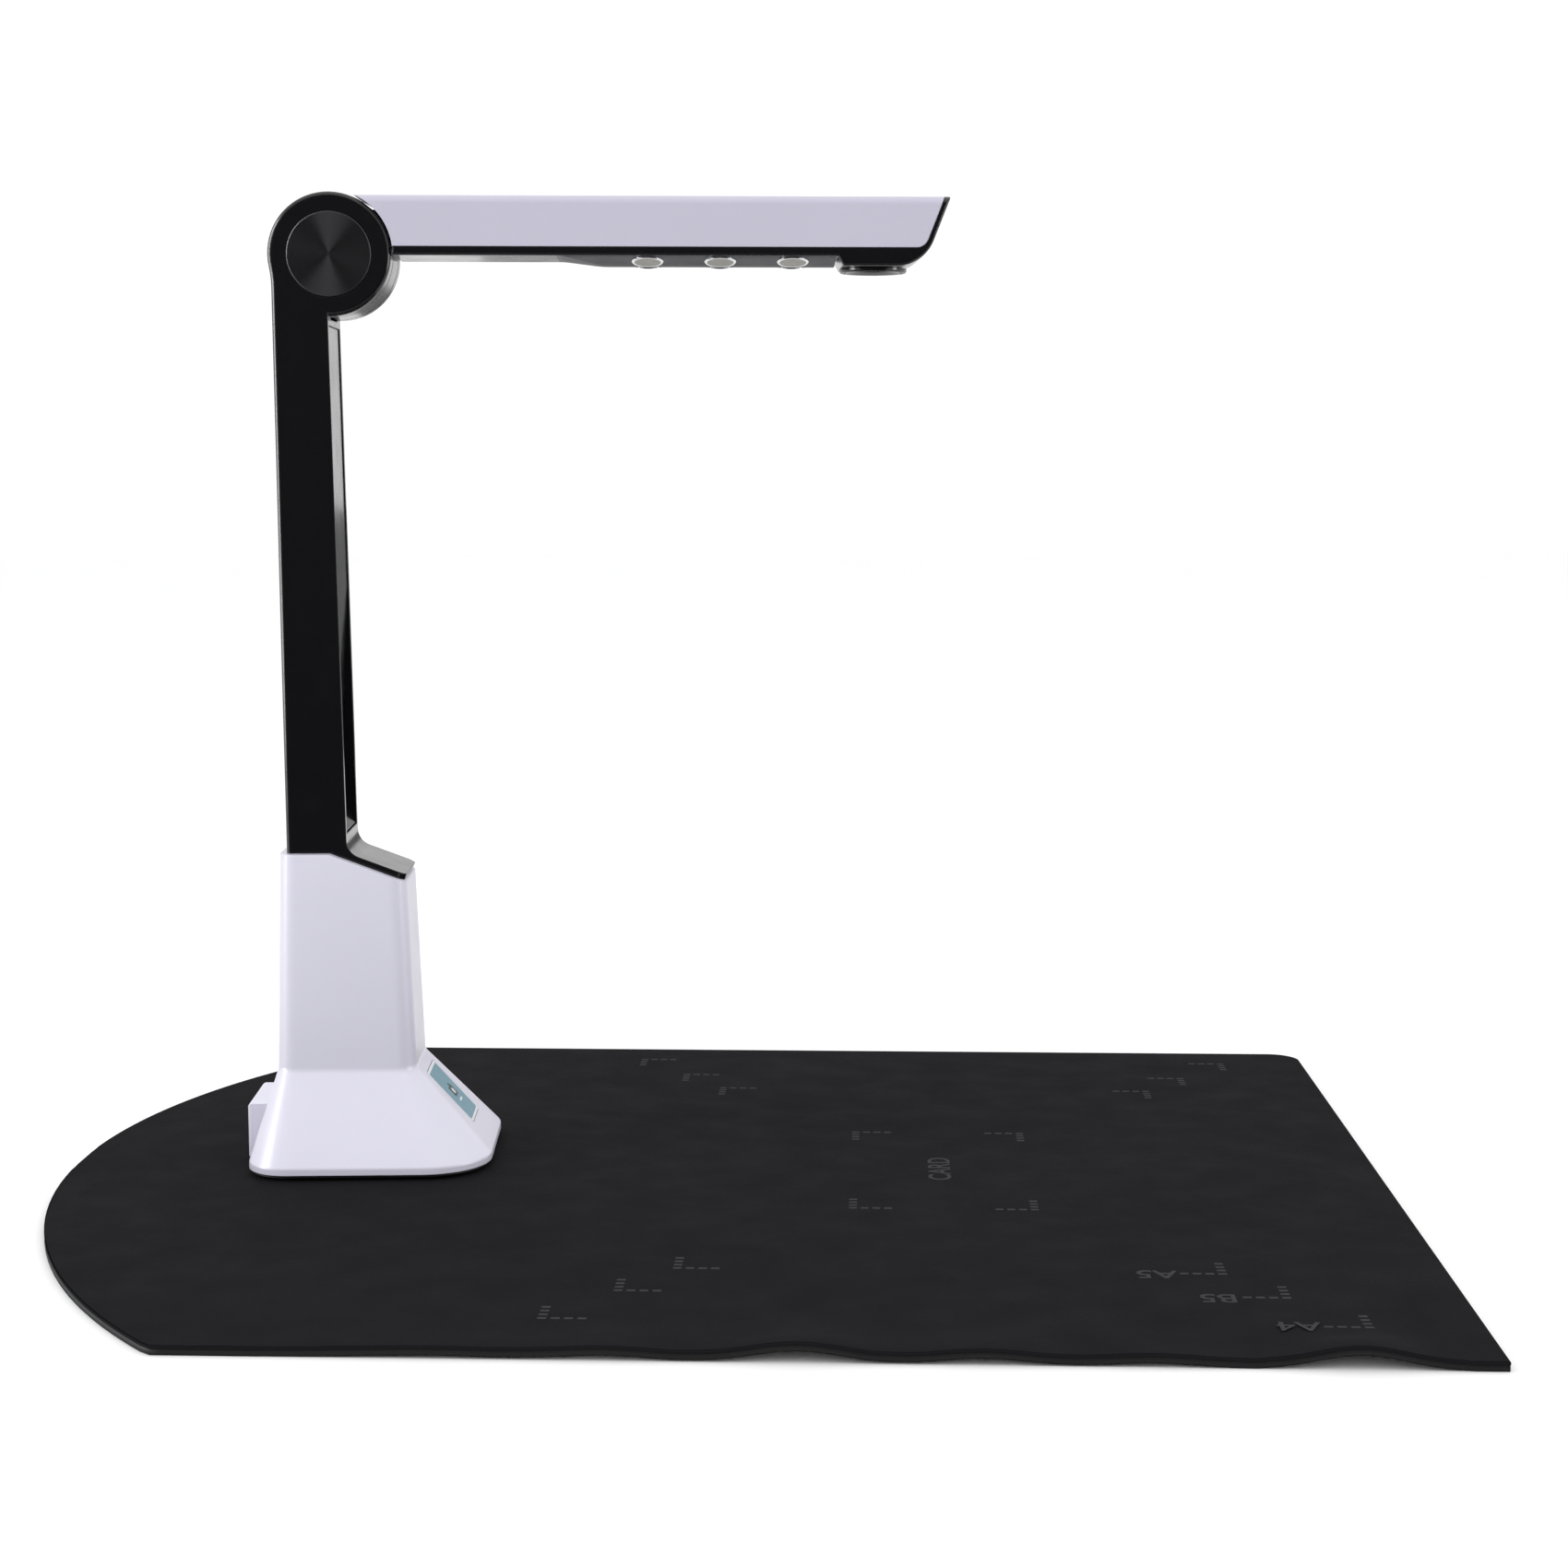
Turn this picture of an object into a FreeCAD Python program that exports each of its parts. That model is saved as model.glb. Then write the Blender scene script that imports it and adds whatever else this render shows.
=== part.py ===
import FreeCAD, Part
import math
import os

from FreeCAD import Vector

# Folding document camera on its printed positioning mat.
# Units are millimetres. The origin is on the table, straight below the hinge axis.
# +X runs along the camera arm, +Z is up, and the stand's centre plane is y = 0.
# Stand parts are drawn above the mat's top face, and arm parts about the hinge axis.

# ---- Driving dimensions -----------------------------------------------------------------

HINGE_HEIGHT = 276.7        # hinge axis above the mat's top face
ARM_HALF_WIDTH = 14.0       # half the width of both arms
DISC_RADIUS = 18.4          # round cheeks at the top of the lower arm
ARM_WALL = 1.8              # wall of the arm mouldings
END_GAP = 0.6               # between the cheeks and the upper arm's hollow end

# Positioning mat, drawn about the centre of its printed paper marks
MAT_THICKNESS = 2.5
MAT_FRONT_X = 133.2         # straight edge far from the camera stand
MAT_REAR_X = -266.3         # crown of the round end under the stand
MAT_NEAR_Y = -172.3
MAT_FAR_Y = 165.0
MAT_CROWN_Y = 4.0
MAT_NEAR_SHOULDER_X = -198.0
MAT_FAR_SHOULDER_X = -202.0
MAT_CORNER_RADIUS = 10.0
MAT_CENTRE = (183.2, -29.4)  # centre of the marks in the stand's frame
MAT_TURN = -4.0              # degrees, the stand isn't set square on the mat

# Stand: skirt and pedestal, heights above the mat
FOOT_HEIGHT = 0.9
SHELL_BOTTOM = 1.8
SKIRT_RIM_TOP = 3.8
PEDESTAL_FOOT = 29.5
PEDESTAL_TOP = 96.3
SKIRT = (-27.9, 45.4, 38.0, 13.0)          # rear x, front x, half width, corner radius
SKIRT_FRONT_CORNER = 20.0
PEDESTAL_LOW = (-20.4, 22.2, 18.0, 5.5)
PEDESTAL_HIGH = (-18.5, 19.6, 17.0, 5.0)
STAND_WALL = 2.2
TOP_CREASE_X = -3.2         # where the pedestal's top starts to slope
TOP_SLOPE = 20.8            # degrees, the slope takes the folded arm's slanted tip
CREASE_RADIUS = 2.5
RIM_RADIUS = 1.0
INSIDE_DROP = 1.2           # keeps the shell's top walls as thick as its sides

# Connector housing at the back of the skirt
HOUSING_REAR_X = -30.0
HOUSING_FRONT_X = -19.0
HOUSING_HALF_WIDTH = 14.5
HOUSING_TOP = 18.4
HOUSING_EDGE_RADIUS = 1.2

# Base plate, feet and their screws
PLATE_INSET = 0.9
PLATE_LIP_TOP = 1.8
PLATE_TOP = 3.4
PLUG_CLEARANCE = 0.15
FOOT_RADIUS = 5.5
FOOT_RECESS = 0.4
# Screws: shank radius, head radius, head height
BASE_SCREW = (1.25, 2.5, 1.2)
BRACKET_SCREW = (1.2, 2.4, 1.8)
CLAMP_SCREW = (1.5, 2.8, 2.0)
BOARD_SCREW = (0.9, 1.7, 1.2)
SPINE_SCREW = (1.4, 2.7, 1.8)
KNUCKLE_SCREW = (1.2, 2.4, 1.6)
HOLDER_SCREW = (0.8, 1.6, 1.1)
BRACKET_SCREW_SPOTS = ((3.0, -6.0), (3.0, 6.0), (12.0, -6.0), (12.0, 6.0))
BOARD_SCREW_SPOTS = ((-24.6, -9.0), (-24.6, 9.0))
CLAMP_HEIGHTS = (40.0, 52.0)
SPINE_SCREW_HEIGHTS = (-62.0, -150.0)       # from the hinge
COUNTERBORE_TOP = 2.6       # base screw heads sit below this
THREAD_START = 2.2          # blind screw holes in the base plate begin here
BRACKET_POST_RADIUS = 3.0
BOARD_POST_RADIUS = 2.2
CONTROLLER_CHIP = (-20.5, -15.5, 7.2, 12.2, 1.0)        # rear x, front x, near y, far y, height
CABLE_PLUG = (-19.5, -14.5, -12.2, -7.4, 3.2)
BOARD_CORNER = 1.0
CORNER_SPOTS = ((-20.0, 27.0), (-20.0, -27.0), (32.5, 24.5), (32.5, -24.5))
BASE_BOSS_RADIUS = 3.2
BASE_BOSS_TOP = 14.0
BASE_SCREW_TOP = 9.5

# Touch plate on the front slope
LABEL_LENGTH = 21.0
LABEL_WIDTH = 18.5
LABEL_THICKNESS = 0.9
LABEL_CORNER = 1.2
LABEL_GAP = 0.3
LABEL_RAISE = 2.8            # up the slope from its middle
SENSOR_LENGTH = 13.0
SENSOR_WIDTH = 13.0
SENSOR_THICKNESS = 1.2

# USB type B receptacle and its board
SOCKET_REAR_X = -29.9
SOCKET_DEPTH = 15.6
SOCKET_WIDTH = 12.0
SOCKET_HEIGHT = 10.0
SOCKET_WALL = 0.5
TONGUE_WIDTH = 5.6
TONGUE_HEIGHT = 3.2
TONGUE_SETBACK = 1.4
BOARD_BOTTOM = 4.8
BOARD_TOP = 6.2
HUB_BOARD = (-27.0, -13.2, 11.5)           # rear x, front x, half width

# Steel work: spine inside the lower arm, bracket and ballast inside the stand
SPINE_BACK = -12.2
SPINE_FRONT = -9.2
SPINE_HALF_WIDTH = 6.0
SPINE_FOOT = 30.0           # above the mat
SPINE_SHOULDER = (-40.0, -34.0)
LUG_INNER_Y = 8.6
LUG_OUTER_Y = 10.4
LUG_RADIUS = 9.0
LUG_LEG_FRONT = -4.4
BRACKET_FRONT = -6.6
BRACKET_HALF_WIDTH = 8.0
BRACKET_TOP = 60.0
BRACKET_BASE = (5.2, 7.7)
BRACKET_TOE_X = 16.0
BRACKET_TOE_HALF_WIDTH = 10.0
BALLAST = (-10.0, 34.0, 26.5, 3.7, 9.2)    # rear x, front x, half width, bottom, top
BALLAST_CUTOUT = (-11.0, 17.5, 11.5)

# Lower arm outline, about the hinge axis
REAR_TOP_X = -17.4
REAR_FOOT_X = -16.5
REAR_BLEND = 30.0
FRONT_TOP_X = -0.6
FRONT_FOOT_X = 1.95
FLANGE_TIP_X = 19.3
FLANGE_THICKNESS = 2.0
FLANGE_FILLET = 5.5
FLANGE_CORNER = 3.0
CHEEK_EDGE = 1.6
RIM_WIDTH = 1.7
HOLLOW_BACK = -15.2
HOLLOW_TOP = -21.0
COVER_DEPTH = 0.35
COVER_THICKNESS = 1.8
POCKET_DEPTH = 4.0
POCKET_START = -100.0
POCKET_RAMP = -160.0
POCKET_END = -168.0
COVER_FOOT = -174.0
COVER_GAP = 0.1

# Hinge stack along Y, mirrored about the centre plane
KNUCKLE_HALF_WIDTH = 6.9
CHEEK_INNER_Y = 7.2
CHEEK_SKIN_Y = 8.4
CHEEK_CAVITY_Y = 12.2
CHEEK_CAVITY_RADIUS = 15.5
CAP_SEAT_Y = 13.0
CAP_RADIUS = 12.6
CAP_PROUD = 0.3
CAP_GAP = 0.15
CAP_EDGE = 0.3
ACCESS_RADIUS = 9.5
SLOT_RADIUS = 19.0
AXLE_RADIUS = 4.0
AXLE_BORE = 2.2
AXLE_CLEARANCE = 0.05
AXLE_HEAD_RADIUS = 6.5
AXLE_HEAD_Y = 11.3
AXLE_END_Y = 12.8
NUT_ACROSS_FLATS = 12.0
WASHER_THICKNESS = 0.4

# Upper arm, about the hinge axis with the arm level
ARM_TOP = 17.5
PARTING = 2.4               # between the top cover and the under shell
ARM_BOTTOM = -0.3
TIP_TOP_X = 185.9
TIP_SLANT = 21.5            # degrees off vertical
TIP_WALL = 1.8
HEAD_BOTTOM = -3.1
HEAD_START_X = 153.5
TIP_CORNER = 12.0
COVER_TIP_CORNER = 3.5
TOP_ROUNDING = 2.5
BOTTOM_ROUNDING = 1.0
CAVITY_FLOOR = 1.2
CAVITY_END_RADIUS = 21.0
HEAD_CAVITY = (155.1, 172.0, -1.6)         # rear x, front x, bottom

# Knuckle neck and tongue
NECK_END = 36.0
NECK_BOTTOM = 3.2
NECK_TOP = 13.6
TONGUE_END = 62.0
TONGUE_TOP = 4.2
NECK_GAP = 0.2
KNUCKLE_SCREW_SPOTS = ((44.0, 0.0), (56.0, 0.0))

# Light bar: three lamps on each of its two sloped faces
LIGHT_BAR_START = 65.0
LIGHT_BAR_FULL = 84.0
LIGHT_BAR_END = 151.4
LIGHT_BAR_EDGE = 12.6
LIGHT_BAR_FLAT = 3.0
LIGHT_BAR_BOTTOM = -2.5
LIGHT_BAR_SKIN = 1.2
LAMP_FIRST_X = 94.8
LAMP_PITCH = 21.9
LAMP_COUNT = 3
LAMP_RADIUS = 4.8
LAMP_SLEEVE = 4.3
LAMP_MOUTH = 4.0
LAMP_THROAT = 2.3
LAMP_DEPTH = 2.5
LAMP_PROUD = 0.5
WINDOW_THICKNESS = 0.5
EMITTER_BASE_HALF = 1.55
EMITTER_BASE_THICKNESS = 0.5
EMITTER_DOME = 1.3
LIGHT_BOARD = (83.8, 148.0, 4.4, 1.2)      # rear x, front x, half width, thickness
LIGHT_OPENING = (83.2, 148.6, 12.1)

# Camera head
LENS_X = 163.3
RING_RADIUS = 10.3
RING_BOTTOM = -4.4
RING_SLEEVE = (7.0, 7.45, -1.7)            # inner radius, outer radius, top
RING_SEAT = -3.5
LENS_HOLE = 7.5
GLASS_RADIUS = 6.95
GLASS_SPAN = (-3.3, -2.5)
BARREL_RADIUS = 6.0
BARREL_BORE = 4.6
BARREL_SPAN = (-2.2, 4.4)
BARREL_LIP = 0.6
ELEMENT_GAP = 0.05
FRONT_ELEMENT = (-1.1, 1.2, 7.0)           # bottom, top, curve radius
MIDDLE_ELEMENT = (1.6, 2.4)
BACK_ELEMENT = (2.8, 4.2, 9.0)
HOLDER_HALF = 7.9
HOLDER_SPAN = (-1.0, 7.0)
SENSOR_POCKET_HALF = 5.5
CAMERA_BOARD = (149.5, 172.4, 11.4, 7.0, 8.2)
CHIP_HALF = 4.5
HOLDER_SCREW_OFFSET = 6.7

# Cables inside the arms
CABLE_RADIUS = 1.3
LOWER_CABLE_X = -6.8
LOWER_CABLE_TOP = -24.0

# Screws
SCREW_CLEARANCE = 0.05


# ---- Shape helpers ----------------------------------------------------------------------

def box(x0, x1, y0, y1, z0, z1):
    return Part.makeBox(x1 - x0, y1 - y0, z1 - z0, Vector(x0, y0, z0))


def cylinder_x(y, z, radius, x0, x1):
    return Part.makeCylinder(radius, x1 - x0, Vector(x0, y, z), Vector(1, 0, 0))


def cylinder_y(x, z, radius, y0, y1):
    return Part.makeCylinder(radius, y1 - y0, Vector(x, y0, z), Vector(0, 1, 0))


def cylinder_z(x, y, radius, z0, z1):
    return Part.makeCylinder(radius, z1 - z0, Vector(x, y, z0), Vector(0, 0, 1))


def moved(shape, x=0.0, y=0.0, z=0.0):
    copy = shape.copy()
    copy.translate(Vector(x, y, z))
    return copy


def fused(shapes):
    result = shapes[0]
    for shape in shapes[1:]:
        result = result.fuse(shape)
    return result.removeSplitter()


def without(shape, tools):
    for tool in tools:
        shape = shape.cut(tool)
    return shape


def both_sides(shape):
    """A shape and its mirror image in the centre plane."""
    return [shape, shape.mirror(Vector(0, 0, 0), Vector(0, 1, 0))]


def rounded_wire(corners, to_point):
    """Closed wire of (a, b, radius) corners; a zero radius leaves the corner sharp."""
    edges = []
    first = None
    last = None
    count = len(corners)
    for index in range(count):
        a, b, radius = corners[index]
        here = Vector(a, b, 0)
        before = Vector(corners[index - 1][0], corners[index - 1][1], 0)
        after = Vector(corners[(index + 1) % count][0], corners[(index + 1) % count][1], 0)
        start = here
        end = here
        if radius > 0:
            back = (before - here).normalize()
            ahead = (after - here).normalize()
            half = back.getAngle(ahead) / 2
            start = here + back * (radius / math.tan(half))
            end = here + ahead * (radius / math.tan(half))
            inward = (back + ahead).normalize()
            middle = here + inward * (radius / math.sin(half) - radius)
        if last is not None:
            edges.append(Part.LineSegment(to_point(last), to_point(start)).toShape())
        if radius > 0:
            edges.append(Part.Arc(to_point(start), to_point(middle), to_point(end)).toShape())
        if first is None:
            first = start
        last = end
    edges.append(Part.LineSegment(to_point(last), to_point(first)).toShape())
    return Part.Wire(edges)


def prism_y(corners, y0, y1):
    """Outline in the XZ plane, carried from y0 to y1."""
    wire = rounded_wire(corners, lambda p: Vector(p.x, y0, p.y))
    return Part.Face(wire).extrude(Vector(0, y1 - y0, 0))


def prism_x(corners, x0, x1):
    """Outline in the YZ plane, carried from x0 to x1."""
    wire = rounded_wire(corners, lambda p: Vector(x0, p.x, p.y))
    return Part.Face(wire).extrude(Vector(x1 - x0, 0, 0))


def prism_z(corners, z0, z1):
    """Outline in the XY plane, carried from z0 to z1."""
    wire = rounded_wire(corners, lambda p: Vector(p.x, p.y, z0))
    return Part.Face(wire).extrude(Vector(0, 0, z1 - z0))


def turned(profile):
    """Solid of revolution about Z from (radius, z) corners."""
    points = [Vector(radius, 0, z) for radius, z in profile]
    face = Part.Face(Part.makePolygon(points + [points[0]]))
    return face.revolve(Vector(0, 0, 0), Vector(0, 0, 1), 360)


def rectangle_corners(size, grow=0.0):
    rear, front, half, corner = size
    radius = max(corner + grow, 0.5)
    return [
        (rear - grow, -half - grow, radius),
        (front + grow, -half - grow, radius),
        (front + grow, half + grow, radius),
        (rear - grow, half + grow, radius),
    ]


def level_wire(size, z, grow=0.0):
    return rounded_wire(rectangle_corners(size, grow), lambda p: Vector(p.x, p.y, z))


def softened(shape, radius, is_soft):
    """Round the edges that a test picks."""
    return shape.makeFillet(radius, [edge for edge in shape.Edges if is_soft(edge)])


def at_height(edge, z, tolerance=0.01):
    return abs(edge.BoundBox.ZMin - z) < tolerance and abs(edge.BoundBox.ZMax - z) < tolerance


def on_side(edge, y, tolerance=0.01):
    return abs(abs(edge.BoundBox.YMin) - y) < tolerance and abs(edge.BoundBox.YLength) < tolerance


def screw(radius, head_radius, head_height, length):
    """Pan head screw, its head standing on z = 0 and its shank pointing down."""
    shank = cylinder_z(0, 0, radius, -length, 0)
    head = softened(cylinder_z(0, 0, head_radius, 0, head_height), 0.35 * head_height,
                    lambda edge: at_height(edge, head_height))
    slot_half = 0.18 * head_radius
    slot = box(-head_radius, head_radius, -slot_half, slot_half, 0.5 * head_height, head_height)
    return fused([shank, head]).cut(slot)


def laid_along_x(shape, x, y, z):
    """Turn a screw so that its shank points along -X from (x, y, z)."""
    copy = shape.copy()
    copy.rotate(Vector(0, 0, 0), Vector(0, 1, 0), 90)
    return moved(copy, x, y, z)


def cable(points, radius):
    """Round cable along straight runs joined by tangent arcs."""
    edges = []
    last = points[0]
    for index in range(1, len(points) - 1):
        here = points[index]
        back = points[index - 1] - here
        ahead = points[index + 1] - here
        half = back.getAngle(ahead) / 2
        reach = 0.45 * min(back.Length, ahead.Length)
        bend = reach * math.tan(half)
        back.normalize()
        ahead.normalize()
        start = here + back * reach
        end = here + ahead * reach
        inward = (back + ahead).normalize()
        middle = here + inward * (bend / math.sin(half) - bend)
        edges.append(Part.LineSegment(last, start).toShape())
        edges.append(Part.Arc(start, middle, end).toShape())
        last = end
    edges.append(Part.LineSegment(last, points[-1]).toShape())
    path = Part.Wire(edges)
    direction = points[1] - points[0]
    profile = Part.Wire(Part.makeCircle(radius, points[0], direction))
    return path.makePipeShell([profile], True, False)


# ---- Placing ----------------------------------------------------------------------------

def stand(shape):
    """From heights above the mat to the part's frame."""
    return moved(shape, z=MAT_THICKNESS)


def hinged(shape):
    """From the hinge axis to the part's frame."""
    return moved(shape, z=MAT_THICKNESS + HINGE_HEIGHT)


SKIRT_RUN = SKIRT[1] - PEDESTAL_LOW[1]
SKIRT_RISE = PEDESTAL_FOOT - SKIRT_RIM_TOP
SKIRT_SLOPE = math.degrees(math.atan2(SKIRT_RISE, SKIRT_RUN))


def on_front_slope(shape):
    """Local X runs down the skirt's front slope and local Z points out of it."""
    copy = moved(shape, x=-LABEL_RAISE)
    copy.rotate(Vector(0, 0, 0), Vector(0, 1, 0), SKIRT_SLOPE)
    x = (SKIRT[1] + PEDESTAL_LOW[1]) / 2
    z = (SKIRT_RIM_TOP + PEDESTAL_FOOT) / 2
    return moved(copy, x=x, z=z)


LAMP_Y = (LIGHT_BAR_EDGE + LIGHT_BAR_FLAT) / 2
LAMP_Z = (ARM_BOTTOM + LIGHT_BAR_BOTTOM) / 2
LAMP_TILT = math.degrees(math.atan2(ARM_BOTTOM - LIGHT_BAR_BOTTOM, LIGHT_BAR_EDGE - LIGHT_BAR_FLAT))


def on_lamp_face(shape, x):
    """Local -Z points out of the near sloped face of the light bar, at x along the arm."""
    copy = shape.copy()
    copy.rotate(Vector(0, 0, 0), Vector(1, 0, 0), -LAMP_TILT)
    return moved(copy, x, -LAMP_Y, LAMP_Z)


def at_each_lamp(shape):
    solids = []
    for index in range(LAMP_COUNT):
        solids += both_sides(on_lamp_face(shape, LAMP_FIRST_X + index * LAMP_PITCH))
    return solids


# ---- Mat --------------------------------------------------------------------------------

def round_end_middle(shoulder_x, shoulder_y):
    """Point halfway along the arc that leaves the crown square and ends at a shoulder."""
    run = shoulder_x - MAT_REAR_X
    rise = shoulder_y - MAT_CROWN_Y
    radius = (run ** 2 + rise ** 2) / (2 * run)
    sweep = math.asin(rise / radius) / 2
    return Vector(MAT_REAR_X + radius * (1 - math.cos(sweep)), MAT_CROWN_Y + radius * math.sin(sweep), 0)


def positioning_mat():
    crown = Vector(MAT_REAR_X, MAT_CROWN_Y, 0)
    far_middle = round_end_middle(MAT_FAR_SHOULDER_X, MAT_FAR_Y)
    near_middle = round_end_middle(MAT_NEAR_SHOULDER_X, MAT_NEAR_Y)
    near_shoulder = Vector(MAT_NEAR_SHOULDER_X, MAT_NEAR_Y, 0)
    far_shoulder = Vector(MAT_FAR_SHOULDER_X, MAT_FAR_Y, 0)
    near_corner = Vector(MAT_FRONT_X, MAT_NEAR_Y, 0)
    turn_start = Vector(MAT_FRONT_X, MAT_FAR_Y - MAT_CORNER_RADIUS, 0)
    turn_end = Vector(MAT_FRONT_X - MAT_CORNER_RADIUS, MAT_FAR_Y, 0)
    inset = MAT_CORNER_RADIUS * (1 - math.sqrt(0.5))
    turn_middle = Vector(MAT_FRONT_X - inset, MAT_FAR_Y - inset, 0)
    wire = Part.Wire([
        Part.Arc(far_shoulder, far_middle, crown).toShape(),
        Part.Arc(crown, near_middle, near_shoulder).toShape(),
        Part.LineSegment(near_shoulder, near_corner).toShape(),
        Part.LineSegment(near_corner, turn_start).toShape(),
        Part.Arc(turn_start, turn_middle, turn_end).toShape(),
        Part.LineSegment(turn_end, far_shoulder).toShape(),
    ])
    mat = Part.Face(wire).extrude(Vector(0, 0, MAT_THICKNESS))
    mat.rotate(Vector(0, 0, 0), Vector(0, 0, 1), MAT_TURN)
    return moved(mat, MAT_CENTRE[0], MAT_CENTRE[1])


# ---- Stand ------------------------------------------------------------------------------

def sloped_top_cutter(drop):
    """Everything above the pedestal's top, which is flat behind the crease and sloped ahead."""
    tall = 40.0
    top = PEDESTAL_TOP - drop
    reach = SKIRT[1] - TOP_CREASE_X
    fall = reach * math.tan(math.radians(TOP_SLOPE))
    corners = [
        (SKIRT[0], top, 0),
        (TOP_CREASE_X, top, 0),
        (TOP_CREASE_X + reach, top - fall, 0),
        (TOP_CREASE_X + reach, top + tall, 0),
        (SKIRT[0], top + tall, 0),
    ]
    return prism_y(corners, -SKIRT[2], SKIRT[2])


def skirt_corners(grow=0.0):
    """Outline of the skirt from above, rounder at the front than at the rear."""
    rear = rectangle_corners(SKIRT, grow)
    front = rectangle_corners(SKIRT[:3] + (SKIRT_FRONT_CORNER,), grow)
    return [rear[0], front[1], front[2], rear[3]]


def skirt_body(inset, drop):
    """Low upright rim, then faces running straight up to the pedestal's foot."""
    corners = skirt_corners(-inset)
    rim = prism_z(corners, SHELL_BOTTOM - drop, SKIRT_RIM_TOP - drop)
    rim_top = rounded_wire(corners, lambda p: Vector(p.x, p.y, SKIRT_RIM_TOP - drop))
    foot = level_wire(PEDESTAL_LOW, PEDESTAL_FOOT - drop, -inset)
    return fused([rim, Part.makeLoft([rim_top, foot], True, True)])


def pedestal_body(inset, drop):
    return Part.makeLoft([level_wire(PEDESTAL_LOW, PEDESTAL_FOOT - drop, -inset),
                          level_wire(PEDESTAL_HIGH, PEDESTAL_TOP - drop, -inset)], True, True)


def stand_outside():
    body = fused([skirt_body(0.0, 0.0), pedestal_body(0.0, 0.0)])
    body = softened(body, CREASE_RADIUS, lambda edge: at_height(edge, PEDESTAL_FOOT))
    body = softened(body, RIM_RADIUS, lambda edge: at_height(edge, SKIRT_RIM_TOP))
    return body.cut(sloped_top_cutter(0.0))


def connector_housing(inset):
    rear = HOUSING_REAR_X + inset
    corners = [
        (rear, SHELL_BOTTOM, 0),
        (HOUSING_FRONT_X, SHELL_BOTTOM, 0),
        (HOUSING_FRONT_X, HOUSING_TOP - inset, 0),
        (rear, HOUSING_TOP - inset, 0),
    ]
    half = HOUSING_HALF_WIDTH - inset
    return prism_y(corners, -half, half)


def stand_inside():
    """Hollow of the base shell, one wall inside its outer faces."""
    body = fused([skirt_body(STAND_WALL, INSIDE_DROP), pedestal_body(STAND_WALL, INSIDE_DROP)])
    body = body.cut(sloped_top_cutter(STAND_WALL))
    return fused([body, connector_housing(STAND_WALL)])


def spine_passage(z0, z1):
    """Hole for the spine and the cable between the stand and the lower arm."""
    gap = 0.6
    return box(SPINE_BACK - gap, LOWER_CABLE_X + CABLE_RADIUS + gap,
               -SPINE_HALF_WIDTH - gap, SPINE_HALF_WIDTH + gap, z0, z1)


def label_plate(grow):
    corners = rectangle_corners((-LABEL_LENGTH / 2, LABEL_LENGTH / 2, LABEL_WIDTH / 2, LABEL_CORNER), grow)
    return prism_z(corners, -LABEL_THICKNESS, 0)


def base_shell():
    outside = stand_outside()
    housing = connector_housing(0.0)
    housing = softened(housing, HOUSING_EDGE_RADIUS, lambda edge: on_side(edge, HOUSING_HALF_WIDTH)
                       and edge.BoundBox.ZMax > SHELL_BOTTOM + 1
                       and edge.BoundBox.XMax < HOUSING_FRONT_X - 0.1
                       or at_height(edge, HOUSING_TOP)
                       and edge.BoundBox.XMax < HOUSING_FRONT_X)
    solid = fused([outside, housing])
    shell = solid.cut(stand_inside())
    bosses = [cylinder_z(x, y, BASE_BOSS_RADIUS, PLATE_TOP, BASE_BOSS_TOP) for x, y in CORNER_SPOTS]
    shell = fused([shell] + [boss.common(solid) for boss in bosses])
    screw_room = 0.5
    holes = [cylinder_z(x, y, BASE_SCREW[0] + SCREW_CLEARANCE, PLATE_TOP, BASE_SCREW_TOP + screw_room)
             for x, y in CORNER_SPOTS]
    socket_gap = 0.15
    half = SOCKET_WIDTH / 2 + socket_gap
    opening = box(HOUSING_REAR_X - 1, HOUSING_REAR_X + STAND_WALL + 1, -half, half,
                  BOARD_TOP - socket_gap, BOARD_TOP + SOCKET_HEIGHT + socket_gap)
    recess = on_front_slope(label_plate(LABEL_GAP))
    passage = spine_passage(PEDESTAL_TOP - 3 * STAND_WALL, PEDESTAL_TOP + 1)
    return without(shell, holes + [opening, recess, passage])


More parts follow.
